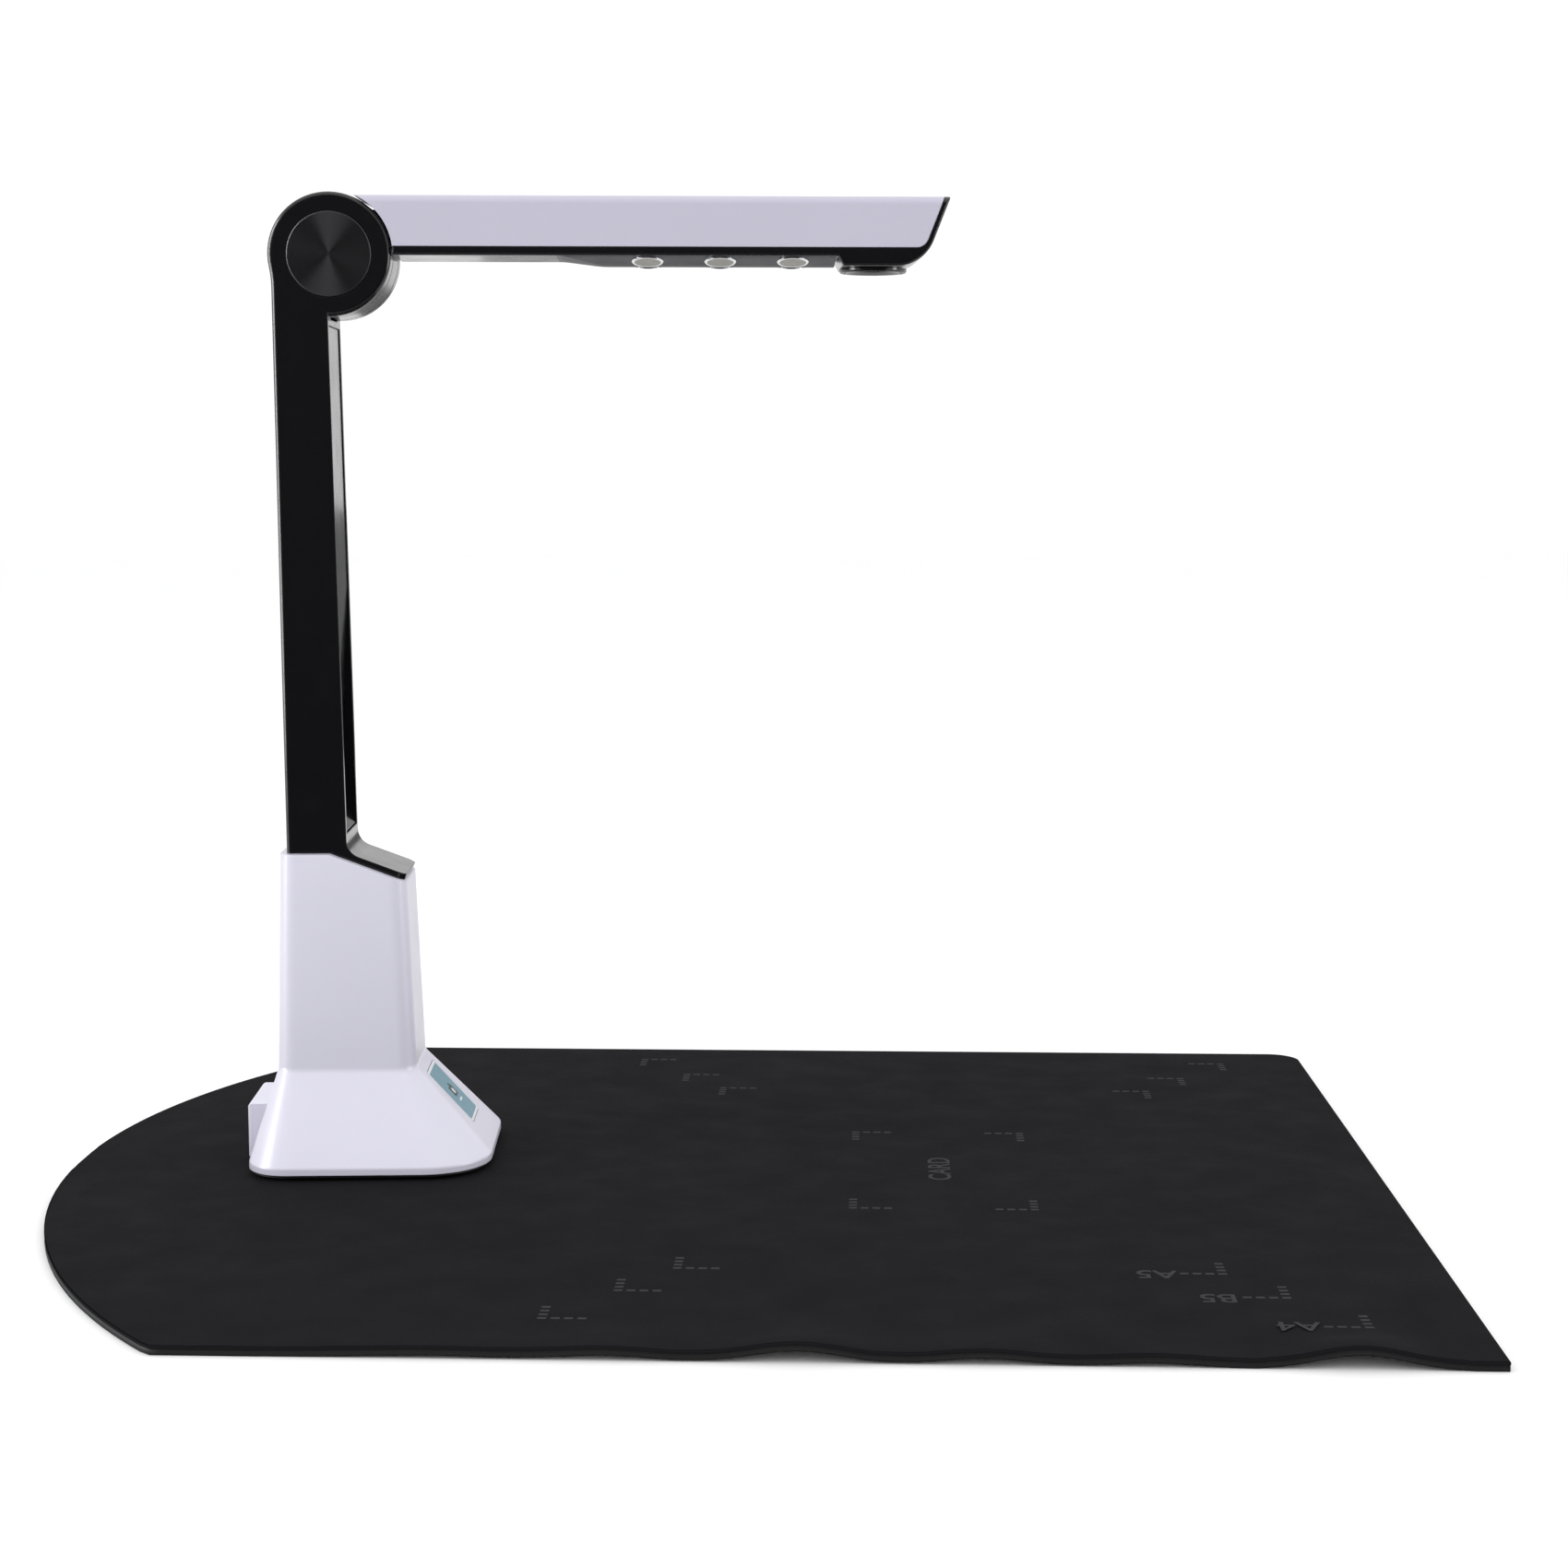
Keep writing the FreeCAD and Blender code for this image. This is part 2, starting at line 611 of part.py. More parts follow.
def base_plate():
    lip = prism_z(skirt_corners(-PLATE_INSET), FOOT_HEIGHT, PLATE_LIP_TOP)
    plug_inset = STAND_WALL + PLUG_CLEARANCE
    plug = prism_z(skirt_corners(-plug_inset), PLATE_LIP_TOP, PLATE_TOP)
    plug = plug.common(skirt_body(plug_inset, INSIDE_DROP))
    half = HOUSING_HALF_WIDTH - plug_inset
    housing_room = box(HOUSING_REAR_X + plug_inset, HOUSING_FRONT_X,
                       -half, half, PLATE_LIP_TOP, PLATE_TOP)
    posts = [cylinder_z(x, y, BRACKET_POST_RADIUS, PLATE_TOP, BRACKET_BASE[0]) for x, y in BRACKET_SCREW_SPOTS]
    rests = [cylinder_z(x, y, BOARD_POST_RADIUS, PLATE_TOP, BOARD_BOTTOM) for x, y in BOARD_SCREW_SPOTS]
    plate = fused([lip, plug, housing_room] + posts + rests)
    feet = [cylinder_z(x, y, FOOT_RADIUS, FOOT_HEIGHT, FOOT_HEIGHT + FOOT_RECESS) for x, y in CORNER_SPOTS]
    heads = [cylinder_z(x, y, BASE_SCREW[1] + 0.1, FOOT_HEIGHT, COUNTERBORE_TOP) for x, y in CORNER_SPOTS]
    shanks = [cylinder_z(x, y, BASE_SCREW[0] + SCREW_CLEARANCE, FOOT_HEIGHT, PLATE_TOP)
              for x, y in CORNER_SPOTS]
    threads = [cylinder_z(x, y, BRACKET_SCREW[0] + SCREW_CLEARANCE, THREAD_START, BRACKET_BASE[0])
               for x, y in BRACKET_SCREW_SPOTS]
    threads += [cylinder_z(x, y, BOARD_SCREW[0] + SCREW_CLEARANCE, THREAD_START, BOARD_BOTTOM)
                for x, y in BOARD_SCREW_SPOTS]
    return without(plate, feet + heads + shanks + threads)


def rubber_feet():
    feet = []
    for x, y in CORNER_SPOTS:
        foot = cylinder_z(x, y, FOOT_RADIUS - 0.1, 0, FOOT_HEIGHT + FOOT_RECESS)
        feet.append(softened(foot, 0.4, lambda edge: at_height(edge, 0)))
    return Part.makeCompound(feet)


def base_screws():
    pattern = screw(*BASE_SCREW, BASE_SCREW_TOP - COUNTERBORE_TOP)
    pattern.rotate(Vector(0, 0, 0), Vector(1, 0, 0), 180)
    return Part.makeCompound([moved(pattern, x, y, COUNTERBORE_TOP) for x, y in CORNER_SPOTS])


def ballast_weight():
    rear, front, half, bottom, top = BALLAST
    plate = prism_z(rectangle_corners((rear, front, half, 4.0)), bottom, top)
    cut_rear, cut_front, cut_half = BALLAST_CUTOUT
    cutout = prism_z(rectangle_corners((cut_rear - 10, cut_front, cut_half, 3.0)), bottom, top)
    bosses = [cylinder_z(x, y, BASE_BOSS_RADIUS + 1.0, bottom, top) for x, y in CORNER_SPOTS]
    return without(plate, [cutout] + bosses)


def arm_bracket():
    upright = box(SPINE_FRONT, BRACKET_FRONT, -BRACKET_HALF_WIDTH, BRACKET_HALF_WIDTH,
                  BRACKET_BASE[0], BRACKET_TOP)
    toe = box(SPINE_FRONT, BRACKET_TOE_X, -BRACKET_TOE_HALF_WIDTH, BRACKET_TOE_HALF_WIDTH, *BRACKET_BASE)
    gusset_corners = [
        (BRACKET_FRONT, BRACKET_BASE[1], 0),
        (BRACKET_FRONT + 14, BRACKET_BASE[1], 0),
        (BRACKET_FRONT, BRACKET_BASE[1] + 20, 0),
    ]
    gusset = prism_y(gusset_corners, -1.2, 1.2)
    bracket = fused([upright, toe, gusset])
    holes = [cylinder_z(x, y, 1.35, *BRACKET_BASE) for x, y in BRACKET_SCREW_SPOTS]
    holes += [cylinder_x(0, z, 1.6, SPINE_FRONT, BRACKET_FRONT) for z in CLAMP_HEIGHTS]
    return without(bracket, holes)


def bracket_screws():
    pattern = screw(*BRACKET_SCREW, BRACKET_BASE[1] - THREAD_START - 0.2)
    return Part.makeCompound([moved(pattern, x, y, BRACKET_BASE[1]) for x, y in BRACKET_SCREW_SPOTS])


def clamp_screws():
    pattern = screw(*CLAMP_SCREW, BRACKET_FRONT - SPINE_BACK)
    return Part.makeCompound([laid_along_x(pattern, BRACKET_FRONT, 0, z) for z in CLAMP_HEIGHTS])


def hub_board():
    rear, front, half = HUB_BOARD
    board = prism_z(rectangle_corners((rear, front, half, BOARD_CORNER)), BOARD_BOTTOM, BOARD_TOP)
    holes = [cylinder_z(x, y, 1.0, BOARD_BOTTOM, BOARD_TOP) for x, y in BOARD_SCREW_SPOTS]
    controller = box(*CONTROLLER_CHIP[:4], BOARD_TOP, BOARD_TOP + CONTROLLER_CHIP[4])
    plug = box(*CABLE_PLUG[:4], BOARD_TOP, BOARD_TOP + CABLE_PLUG[4])
    return fused([without(board, holes), controller, plug])


def board_screws():
    pattern = screw(*BOARD_SCREW, BOARD_TOP - THREAD_START - 0.4)
    return Part.makeCompound([moved(pattern, x, y, BOARD_TOP) for x, y in BOARD_SCREW_SPOTS])


def usb_socket():
    half = SOCKET_WIDTH / 2
    front = SOCKET_REAR_X + SOCKET_DEPTH
    top = BOARD_TOP + SOCKET_HEIGHT
    keyed = 2.0

    def outline(inset):
        return [
            (-half + inset, BOARD_TOP + inset, 0.3),
            (half - inset, BOARD_TOP + inset, 0.3),
            (half - inset, top - inset - keyed, 0.3),
            (half - inset - keyed, top - inset, 0.3),
            (-half + inset + keyed, top - inset, 0.3),
            (-half + inset, top - inset - keyed, 0.3),
        ]

    can = prism_x(outline(0.0), SOCKET_REAR_X, front)
    well = prism_x(outline(SOCKET_WALL), SOCKET_REAR_X, front - 4.0)
    middle = BOARD_TOP + SOCKET_HEIGHT / 2
    tongue = box(SOCKET_REAR_X + TONGUE_SETBACK, front - 3.5, -TONGUE_WIDTH / 2, TONGUE_WIDTH / 2,
                 middle - TONGUE_HEIGHT / 2, middle + TONGUE_HEIGHT / 2)
    return fused([can.cut(well), tongue])


def touch_label():
    return on_front_slope(label_plate(0.0))


def touch_board():
    depth = LABEL_THICKNESS + STAND_WALL + 0.6
    board = box(-SENSOR_LENGTH / 2, SENSOR_LENGTH / 2, -SENSOR_WIDTH / 2, SENSOR_WIDTH / 2,
                -depth - SENSOR_THICKNESS, -depth)
    return on_front_slope(board)


# ---- Lower arm --------------------------------------------------------------------------

def front_x(z):
    """Front edge of the lower arm's rims at a height about the hinge."""
    top = -DISC_RADIUS
    foot = PEDESTAL_TOP - HINGE_HEIGHT
    return FRONT_TOP_X + (FRONT_FOOT_X - FRONT_TOP_X) * (z - top) / (foot - top)


def lower_arm_outline():
    foot = PEDESTAL_TOP - HINGE_HEIGHT
    blend_x = REAR_TOP_X - REAR_BLEND
    blend_z = -math.sqrt((DISC_RADIUS + REAR_BLEND) ** 2 - blend_x ** 2)
    share = DISC_RADIUS / (DISC_RADIUS + REAR_BLEND)
    disc_start = Vector(blend_x * share, 0, blend_z * share)
    blend_end = Vector(REAR_TOP_X, 0, blend_z)
    toward = ((disc_start + blend_end) * 0.5 - Vector(blend_x, 0, blend_z)).normalize()
    blend_middle = Vector(blend_x, 0, blend_z) + toward * REAR_BLEND
    disc_end = Vector(FRONT_TOP_X, 0, -math.sqrt(DISC_RADIUS ** 2 - FRONT_TOP_X ** 2))
    slope = math.radians(TOP_SLOPE)
    along = Vector(math.cos(slope), 0, -math.sin(slope))
    below = Vector(-math.sin(slope), 0, -math.cos(slope))
    crease = Vector(TOP_CREASE_X, 0, foot)
    lower_tip = crease + along * ((FLANGE_TIP_X - TOP_CREASE_X) / along.x)
    upper_tip = lower_tip - below * FLANGE_THICKNESS
    # corner where the front edge line meets the flange's upper face
    rise = (FRONT_FOOT_X - upper_tip.x) / along.x
    corner = upper_tip + along * rise
    up = (disc_end - corner).normalize()
    half = up.getAngle(along) / 2
    reach = FLANGE_FILLET / math.tan(half)
    fillet_start = corner + up * reach
    fillet_end = corner + along * reach
    fillet_middle = corner + (up + along).normalize() * (FLANGE_FILLET / math.sin(half) - FLANGE_FILLET)
    rear_foot = Vector(REAR_FOOT_X, 0, foot)
    return Part.Wire([
        Part.LineSegment(rear_foot, blend_end).toShape(),
        Part.Arc(blend_end, blend_middle, disc_start).toShape(),
        Part.Arc(disc_start, Vector(0, 0, DISC_RADIUS), disc_end).toShape(),
        Part.LineSegment(disc_end, fillet_start).toShape(),
        Part.Arc(fillet_start, fillet_middle, fillet_end).toShape(),
        Part.LineSegment(fillet_end, upper_tip).toShape(),
        Part.LineSegment(upper_tip, lower_tip).toShape(),
        Part.LineSegment(lower_tip, crease).toShape(),
        Part.LineSegment(crease, rear_foot).toShape(),
    ])


def lower_arm_shell():
    foot = PEDESTAL_TOP - HINGE_HEIGHT
    solid = Part.Face(lower_arm_outline()).extrude(Vector(0, 2 * ARM_HALF_WIDTH, 0))
    solid = moved(solid, y=-ARM_HALF_WIDTH)
    solid = softened(solid, FLANGE_CORNER, lambda edge: on_side(edge, ARM_HALF_WIDTH)
                     and edge.BoundBox.XMin > FLANGE_TIP_X - 1)
    solid = softened(solid, CHEEK_EDGE, lambda edge: on_side(edge, ARM_HALF_WIDTH)
                     and edge.BoundBox.XMin < REAR_FOOT_X - 0.1)
    inner = ARM_HALF_WIDTH - RIM_WIDTH
    hollow = box(HOLLOW_BACK, SKIRT[1], -inner, inner, foot + ARM_WALL + 4, HOLLOW_TOP)
    slot = cylinder_y(0, 0, SLOT_RADIUS, -CHEEK_INNER_Y, CHEEK_INNER_Y)
    tools = [hollow, slot, spine_passage(foot - 1, foot + ARM_WALL + 5)]
    cheek_tools = [
        cylinder_y(0, 0, CHEEK_CAVITY_RADIUS, CHEEK_SKIN_Y, CHEEK_CAVITY_Y),
        box(HOLLOW_BACK + 1, LUG_LEG_FRONT + 0.6, CHEEK_SKIN_Y, CHEEK_CAVITY_Y, HOLLOW_TOP - 1, 0),
        cylinder_y(0, 0, CAP_RADIUS + CAP_GAP, CAP_SEAT_Y, ARM_HALF_WIDTH + 1),
        cylinder_y(0, 0, ACCESS_RADIUS, CHEEK_CAVITY_Y - 1, CAP_SEAT_Y + 1),
        cylinder_y(0, 0, AXLE_RADIUS + AXLE_CLEARANCE, CHEEK_INNER_Y - 1, CHEEK_SKIN_Y + 1),
    ]
    for tool in cheek_tools:
        tools += both_sides(tool)
    shell = without(solid, tools)
    bosses = [cylinder_x(0, z, 3.2, HOLLOW_BACK - 0.5, SPINE_BACK) for z in SPINE_SCREW_HEIGHTS]
    shell = fused([shell] + bosses)
    return without(shell, [cylinder_x(0, z, 1.45, HOLLOW_BACK, SPINE_BACK) for z in SPINE_SCREW_HEIGHTS])


def lower_arm_front_cover():
    inner = ARM_HALF_WIDTH - RIM_WIDTH - COVER_GAP
    top = HOLLOW_TOP - COVER_GAP
    face = [
        (front_x(top) - COVER_DEPTH, top, 0),
        (front_x(POCKET_START) - COVER_DEPTH, POCKET_START, 6.0),
        (front_x(POCKET_RAMP) - POCKET_DEPTH, POCKET_RAMP, 6.0),
        (front_x(POCKET_END) - POCKET_DEPTH, POCKET_END, 4.0),
        (front_x(COVER_FOOT) - COVER_DEPTH, COVER_FOOT, 0),
    ]
    back = [
        (x - COVER_THICKNESS, z, radius) for x, z, radius in reversed(face)
    ]
    return prism_y(face + back, -inner, inner)


def arm_spine():
    foot = SPINE_FOOT - HINGE_HEIGHT
    bar = box(SPINE_BACK, SPINE_FRONT, -SPINE_HALF_WIDTH, SPINE_HALF_WIDTH, foot, SPINE_SHOULDER[1])
    shoulder = box(SPINE_BACK, SPINE_FRONT, -LUG_OUTER_Y, LUG_OUTER_Y, *SPINE_SHOULDER)
    leg_corners = [
        (SPINE_BACK, SPINE_SHOULDER[0], 0),
        (SPINE_FRONT, SPINE_SHOULDER[0], 0),
        (LUG_LEG_FRONT, SPINE_SHOULDER[1] + 8, 2.0),
        (LUG_LEG_FRONT, 0, 0),
        (SPINE_BACK + 4.0, 0, 0),
        (SPINE_BACK, -9.0, 2.0),
    ]
    leg = prism_y(leg_corners, LUG_INNER_Y, LUG_OUTER_Y)
    lug = cylinder_y(0, 0, LUG_RADIUS, LUG_INNER_Y, LUG_OUTER_Y)
    side = fused([leg, lug])
    spine = fused([bar, shoulder] + both_sides(side))
    holes = both_sides(cylinder_y(0, 0, AXLE_RADIUS + AXLE_CLEARANCE, LUG_INNER_Y - 1, LUG_OUTER_Y + 1))
    holes += [cylinder_x(0, z, 1.5, SPINE_BACK, SPINE_FRONT) for z in SPINE_SCREW_HEIGHTS]
    holes += [cylinder_x(0, z - HINGE_HEIGHT, 1.55, SPINE_BACK, SPINE_FRONT) for z in CLAMP_HEIGHTS]
    return without(spine, holes)


def spine_screws():
    pattern = screw(*SPINE_SCREW, SPINE_FRONT - HOLLOW_BACK - 0.4)
    return Part.makeCompound([laid_along_x(pattern, SPINE_FRONT, 0, z) for z in SPINE_SCREW_HEIGHTS])


def lower_arm_cable():
    start = BOARD_TOP + CABLE_PLUG[4] - HINGE_HEIGHT
    points = [
        Vector(-17.0, -9.8, start),
        Vector(-17.0, -9.8, start + 12),
        Vector(LOWER_CABLE_X - 1.5, -11.0, start + 34),
        Vector(LOWER_CABLE_X + 2.5, -10.0, start + 58),
        Vector(LOWER_CABLE_X, -4.4, start + 80),
        Vector(LOWER_CABLE_X, -4.4, start + 104),
        Vector(LOWER_CABLE_X, -5.2, (start + LOWER_CABLE_TOP) / 2),
        Vector(LOWER_CABLE_X, -4.6, LOWER_CABLE_TOP),
    ]
    return cable(points, CABLE_RADIUS)


# ---- Hinge ------------------------------------------------------------------------------

def hinge_axle():
    shaft = cylinder_y(0, 0, AXLE_RADIUS, -AXLE_HEAD_Y, AXLE_END_Y)
    head = cylinder_y(0, 0, AXLE_HEAD_RADIUS, -AXLE_END_Y, -AXLE_HEAD_Y)
    bore = cylinder_y(0, 0, AXLE_BORE, -AXLE_END_Y, AXLE_END_Y)
    return fused([shaft, head]).cut(bore)


def hinge_nut():
    radius = NUT_ACROSS_FLATS / math.sqrt(3)
    corners = [(radius * math.cos(math.radians(60 * k)), radius * math.sin(math.radians(60 * k)), 0)
               for k in range(6)]
    nut = prism_y(corners, AXLE_HEAD_Y, AXLE_END_Y)
    return nut.cut(cylinder_y(0, 0, AXLE_RADIUS + 0.02, AXLE_HEAD_Y, AXLE_END_Y))


def friction_washers():
    solids = []
    gap = (AXLE_HEAD_Y - LUG_OUTER_Y - 2 * WASHER_THICKNESS) / 3
    for index in range(2):
        start = LUG_OUTER_Y + gap + index * (WASHER_THICKNESS + gap)
        disc = cylinder_y(0, 0, AXLE_HEAD_RADIUS, start, start + WASHER_THICKNESS)
        hole = cylinder_y(0, 0, AXLE_RADIUS + AXLE_CLEARANCE, start, start + WASHER_THICKNESS)
        solids += both_sides(disc.cut(hole))
    return Part.makeCompound(solids)


def hinge_cap():
    outer = ARM_HALF_WIDTH + CAP_PROUD
    cap = cylinder_y(0, 0, CAP_RADIUS, CAP_SEAT_Y, outer)
    return softened(cap, CAP_EDGE, lambda edge: abs(edge.BoundBox.YMin - outer) < 0.01)


# ---- Upper arm --------------------------------------------------------------------------

def tip_x(z, inset=0.0):
    """The slanted tip's face at a height, or a face parallel to it and further in."""
    slant = math.radians(TIP_SLANT)
    return TIP_TOP_X - (ARM_TOP - z) * math.tan(slant) - inset / math.cos(slant)


def arm_envelope():
    """Outside of the upper arm with its covers closed."""
    corners = [
        (0, ARM_BOTTOM, 0),
        (HEAD_START_X - 1.5, ARM_BOTTOM, 0.8),
        (HEAD_START_X, HEAD_BOTTOM, 1.0),
        (tip_x(HEAD_BOTTOM), HEAD_BOTTOM, TIP_CORNER),
        (TIP_TOP_X, ARM_TOP, 0.6),
        (0, ARM_TOP, 0),
    ]
    section = [
        (-ARM_HALF_WIDTH, 2 * HEAD_BOTTOM, 0),
        (ARM_HALF_WIDTH, 2 * HEAD_BOTTOM, 0),
        (ARM_HALF_WIDTH, ARM_TOP, TOP_ROUNDING),
        (-ARM_HALF_WIDTH, ARM_TOP, TOP_ROUNDING),
    ]
    solid = prism_y(corners, -ARM_HALF_WIDTH, ARM_HALF_WIDTH)
    solid = softened(solid, BOTTOM_ROUNDING, lambda edge: on_side(edge, ARM_HALF_WIDTH)
                     and (at_height(edge, ARM_BOTTOM) or at_height(edge, HEAD_BOTTOM)))
    return solid.common(prism_x(section, 0, TIP_TOP_X + 1))


def cover_region():
    corners = [
        (0, PARTING, 0),
        (tip_x(PARTING, TIP_WALL), PARTING, COVER_TIP_CORNER),
        (tip_x(ARM_TOP + 5, TIP_WALL), ARM_TOP + 5, 0),
        (0, ARM_TOP + 5, 0),
    ]
    wide = ARM_HALF_WIDTH + 1
    return prism_y(corners, -wide, wide)


def arm_cavity():
    inner = ARM_HALF_WIDTH - ARM_WALL
    corners = [
        (0, CAVITY_FLOOR, 0),
        (tip_x(CAVITY_FLOOR, TIP_WALL + ARM_WALL), CAVITY_FLOOR, 0),
        (tip_x(ARM_TOP - ARM_WALL, TIP_WALL + ARM_WALL), ARM_TOP - ARM_WALL, 1.5),
        (0, ARM_TOP - ARM_WALL, 0),
    ]
    solid = prism_y(corners, -inner, inner)
    return solid.cut(cylinder_y(0, 0, CAVITY_END_RADIUS, -inner, inner))


def neck_room():
    half = KNUCKLE_HALF_WIDTH + NECK_GAP
    return box(0, CAVITY_END_RADIUS + 4, -half, half, NECK_BOTTOM - NECK_GAP, NECK_TOP + NECK_GAP)


def hinge_end():
    wide = ARM_HALF_WIDTH + 1
    return cylinder_y(0, 0, DISC_RADIUS + END_GAP, -wide, wide)


def top_cover():
    cover = arm_envelope().common(cover_region())
    return without(cover, [hinge_end(), arm_cavity(), neck_room()])


def under_shell():
    shell = arm_envelope().cut(cover_region())
    rear, front, bottom = HEAD_CAVITY
    inner = ARM_HALF_WIDTH - ARM_WALL - 0.2
    head_room = box(rear, front, -inner, inner, bottom, CAVITY_FLOOR + 0.5)
    light_rear, light_front, light_half = LIGHT_OPENING
    light_room = box(light_rear, light_front, -light_half, light_half, ARM_BOTTOM - 1, CAVITY_FLOOR + 0.5)
    lens_hole = cylinder_z(LENS_X, 0, LENS_HOLE, HEAD_BOTTOM - 1, bottom + 0.5)
    screw_holes = [cylinder_z(x, y, 1.25, CAVITY_FLOOR - 1.1, PARTING) for x, y in KNUCKLE_SCREW_SPOTS]
    return without(shell, [hinge_end(), arm_cavity(), neck_room(), head_room, light_room, lens_hole]
                   + screw_holes)


def hinge_knuckle():
    half = KNUCKLE_HALF_WIDTH
    drum = cylinder_y(0, 0, DISC_RADIUS, -half, half)
    drum = softened(drum, 0.6, lambda edge: abs(edge.BoundBox.YLength) < 0.01)
    neck_corners = [
        (0, NECK_BOTTOM, 0),
        (NECK_END, NECK_BOTTOM, 0),
        (NECK_END, TONGUE_TOP + 2, 0),
        (NECK_END - 8, NECK_TOP, 3.0),
        (0, NECK_TOP, 0),
    ]
    neck = prism_y(neck_corners, -half, half)
    tongue = box(CAVITY_END_RADIUS + 1.0, TONGUE_END, -half, half, CAVITY_FLOOR, TONGUE_TOP)
    knuckle = fused([drum, neck, tongue])
    bore = cylinder_y(0, 0, AXLE_RADIUS + AXLE_CLEARANCE, -half, half)
    channel = cable_channel()
    screw_holes = [cylinder_z(x, y, 1.3, CAVITY_FLOOR, TONGUE_TOP) for x, y in KNUCKLE_SCREW_SPOTS]
    return without(knuckle, [bore, channel] + screw_holes)


CHANNEL_START = Vector(5.6, 0, 1.6)
CHANNEL_END = Vector(40.0, 0, 10.6)


def cable_channel():
    direction = CHANNEL_END - CHANNEL_START
    return Part.makeCylinder(CABLE_RADIUS + 0.3, direction.Length, CHANNEL_START, direction)


def knuckle_screws():
    pattern = screw(*KNUCKLE_SCREW, TONGUE_TOP - CAVITY_FLOOR + 1.0)
    return Part.makeCompound([moved(pattern, x, y, TONGUE_TOP) for x, y in KNUCKLE_SCREW_SPOTS])


def upper_arm_cable():
    direction = (CHANNEL_END - CHANNEL_START).normalize()
    points = [
        CHANNEL_START + direction * 1.0,
        CHANNEL_END,
        Vector(70, 2.0, 9.6),
        Vector(100, -1.5, 9.6),
        Vector(128, 1.0, 10.4),
        Vector(150.5, 0, 9.8),
    ]
    return cable(points, CABLE_RADIUS)


# ---- Lights -----------------------------------------------------------------------------

def light_panel():
    section = [
        (-LIGHT_BAR_EDGE, ARM_BOTTOM, 0),
        (-LIGHT_BAR_FLAT, LIGHT_BAR_BOTTOM, 3.0),
        (LIGHT_BAR_FLAT, LIGHT_BAR_BOTTOM, 3.0),
        (LIGHT_BAR_EDGE, ARM_BOTTOM, 0),
    ]
    bar = prism_x(section, LIGHT_BAR_START, LIGHT_BAR_END)
    profile = [
        (LIGHT_BAR_START, ARM_BOTTOM + 1, 0),
        (LIGHT_BAR_START, ARM_BOTTOM, 0),
        (LIGHT_BAR_START + 4, ARM_BOTTOM, 16.0),
        (LIGHT_BAR_FULL - 3, LIGHT_BAR_BOTTOM, 30.0),
        (HEAD_START_X, LIGHT_BAR_BOTTOM, 0),
        (HEAD_START_X, ARM_BOTTOM + 1, 0),
    ]
    bar = bar.common(prism_y(profile, -LIGHT_BAR_EDGE, LIGHT_BAR_EDGE))
    hollow_edge = LIGHT_BAR_EDGE - 4 * LIGHT_BAR_SKIN
    hollow_section = [
        (-hollow_edge, ARM_BOTTOM, 0),
        (-LIGHT_BAR_FLAT, LIGHT_BAR_BOTTOM + LIGHT_BAR_SKIN, 0),
        (LIGHT_BAR_FLAT, LIGHT_BAR_BOTTOM + LIGHT_BAR_SKIN, 0),
        (hollow_edge, ARM_BOTTOM, 0),
    ]
    hollow = prism_x(hollow_section, LIGHT_OPENING[0], LIGHT_OPENING[1])
    hole = cylinder_z(0, 0, LAMP_SLEEVE + 0.05, -2, 2.0)
    return without(bar, [hollow] + at_each_lamp(hole))


def light_reflectors():
    cup = turned([
        (LAMP_SLEEVE, 0.0),
        (LAMP_SLEEVE, LAMP_DEPTH),
        (LAMP_THROAT, LAMP_DEPTH),
        (LAMP_MOUTH, 0.0),
        (LAMP_MOUTH, -LAMP_PROUD),
        (LAMP_RADIUS - 0.25, -LAMP_PROUD),
        (LAMP_RADIUS, -LAMP_PROUD + 0.25),
        (LAMP_RADIUS, 0.0),
    ])
    return Part.makeCompound(at_each_lamp(cup))


def light_windows():
    gap = 0.05
    disc = cylinder_z(0, 0, LAMP_MOUTH - gap, -LAMP_PROUD, -LAMP_PROUD + WINDOW_THICKNESS)
    return Part.makeCompound(at_each_lamp(disc))


def light_boards():
    rear, front, half, thickness = LIGHT_BOARD
    board = box(rear, front, -half, half, LAMP_DEPTH, LAMP_DEPTH + thickness)
    return Part.makeCompound(both_sides(on_lamp_face(board, 0)))


def light_emitters():
    half = EMITTER_BASE_HALF
    base = box(-half, half, -half, half, LAMP_DEPTH - EMITTER_BASE_THICKNESS, LAMP_DEPTH)
    ball = Part.makeSphere(EMITTER_DOME, Vector(0, 0, LAMP_DEPTH - EMITTER_BASE_THICKNESS))
    lower_half = box(-half, half, -half, half, 0, LAMP_DEPTH - EMITTER_BASE_THICKNESS)
    return Part.makeCompound(at_each_lamp(fused([base, ball.common(lower_half)])))


# ---- Camera head ------------------------------------------------------------------------

def lens_ring():
    inner, sleeve, sleeve_top = RING_SLEEVE
    ring = turned([
        (inner, sleeve_top),
        (sleeve, sleeve_top),
        (sleeve, HEAD_BOTTOM),
        (RING_RADIUS, HEAD_BOTTOM),
        (RING_RADIUS, RING_BOTTOM + 0.5),
        (RING_RADIUS - 0.4, RING_BOTTOM),
        (RING_RADIUS - 1.2, RING_BOTTOM),
        (inner, RING_SEAT),
    ])
    return moved(ring, x=LENS_X)


def lens_window():
    return cylinder_z(LENS_X, 0, GLASS_RADIUS, *GLASS_SPAN)


def lens_barrel():
    bottom, top = BARREL_SPAN
    barrel = turned([
        (BARREL_RADIUS, bottom),
        (BARREL_RADIUS, top),
        (BARREL_BORE, top),
        (BARREL_BORE, bottom + 1.6 * BARREL_LIP),
        (BARREL_BORE - BARREL_LIP, bottom + BARREL_LIP),
        (BARREL_BORE + BARREL_LIP, bottom),
    ])
    return moved(barrel, x=LENS_X)


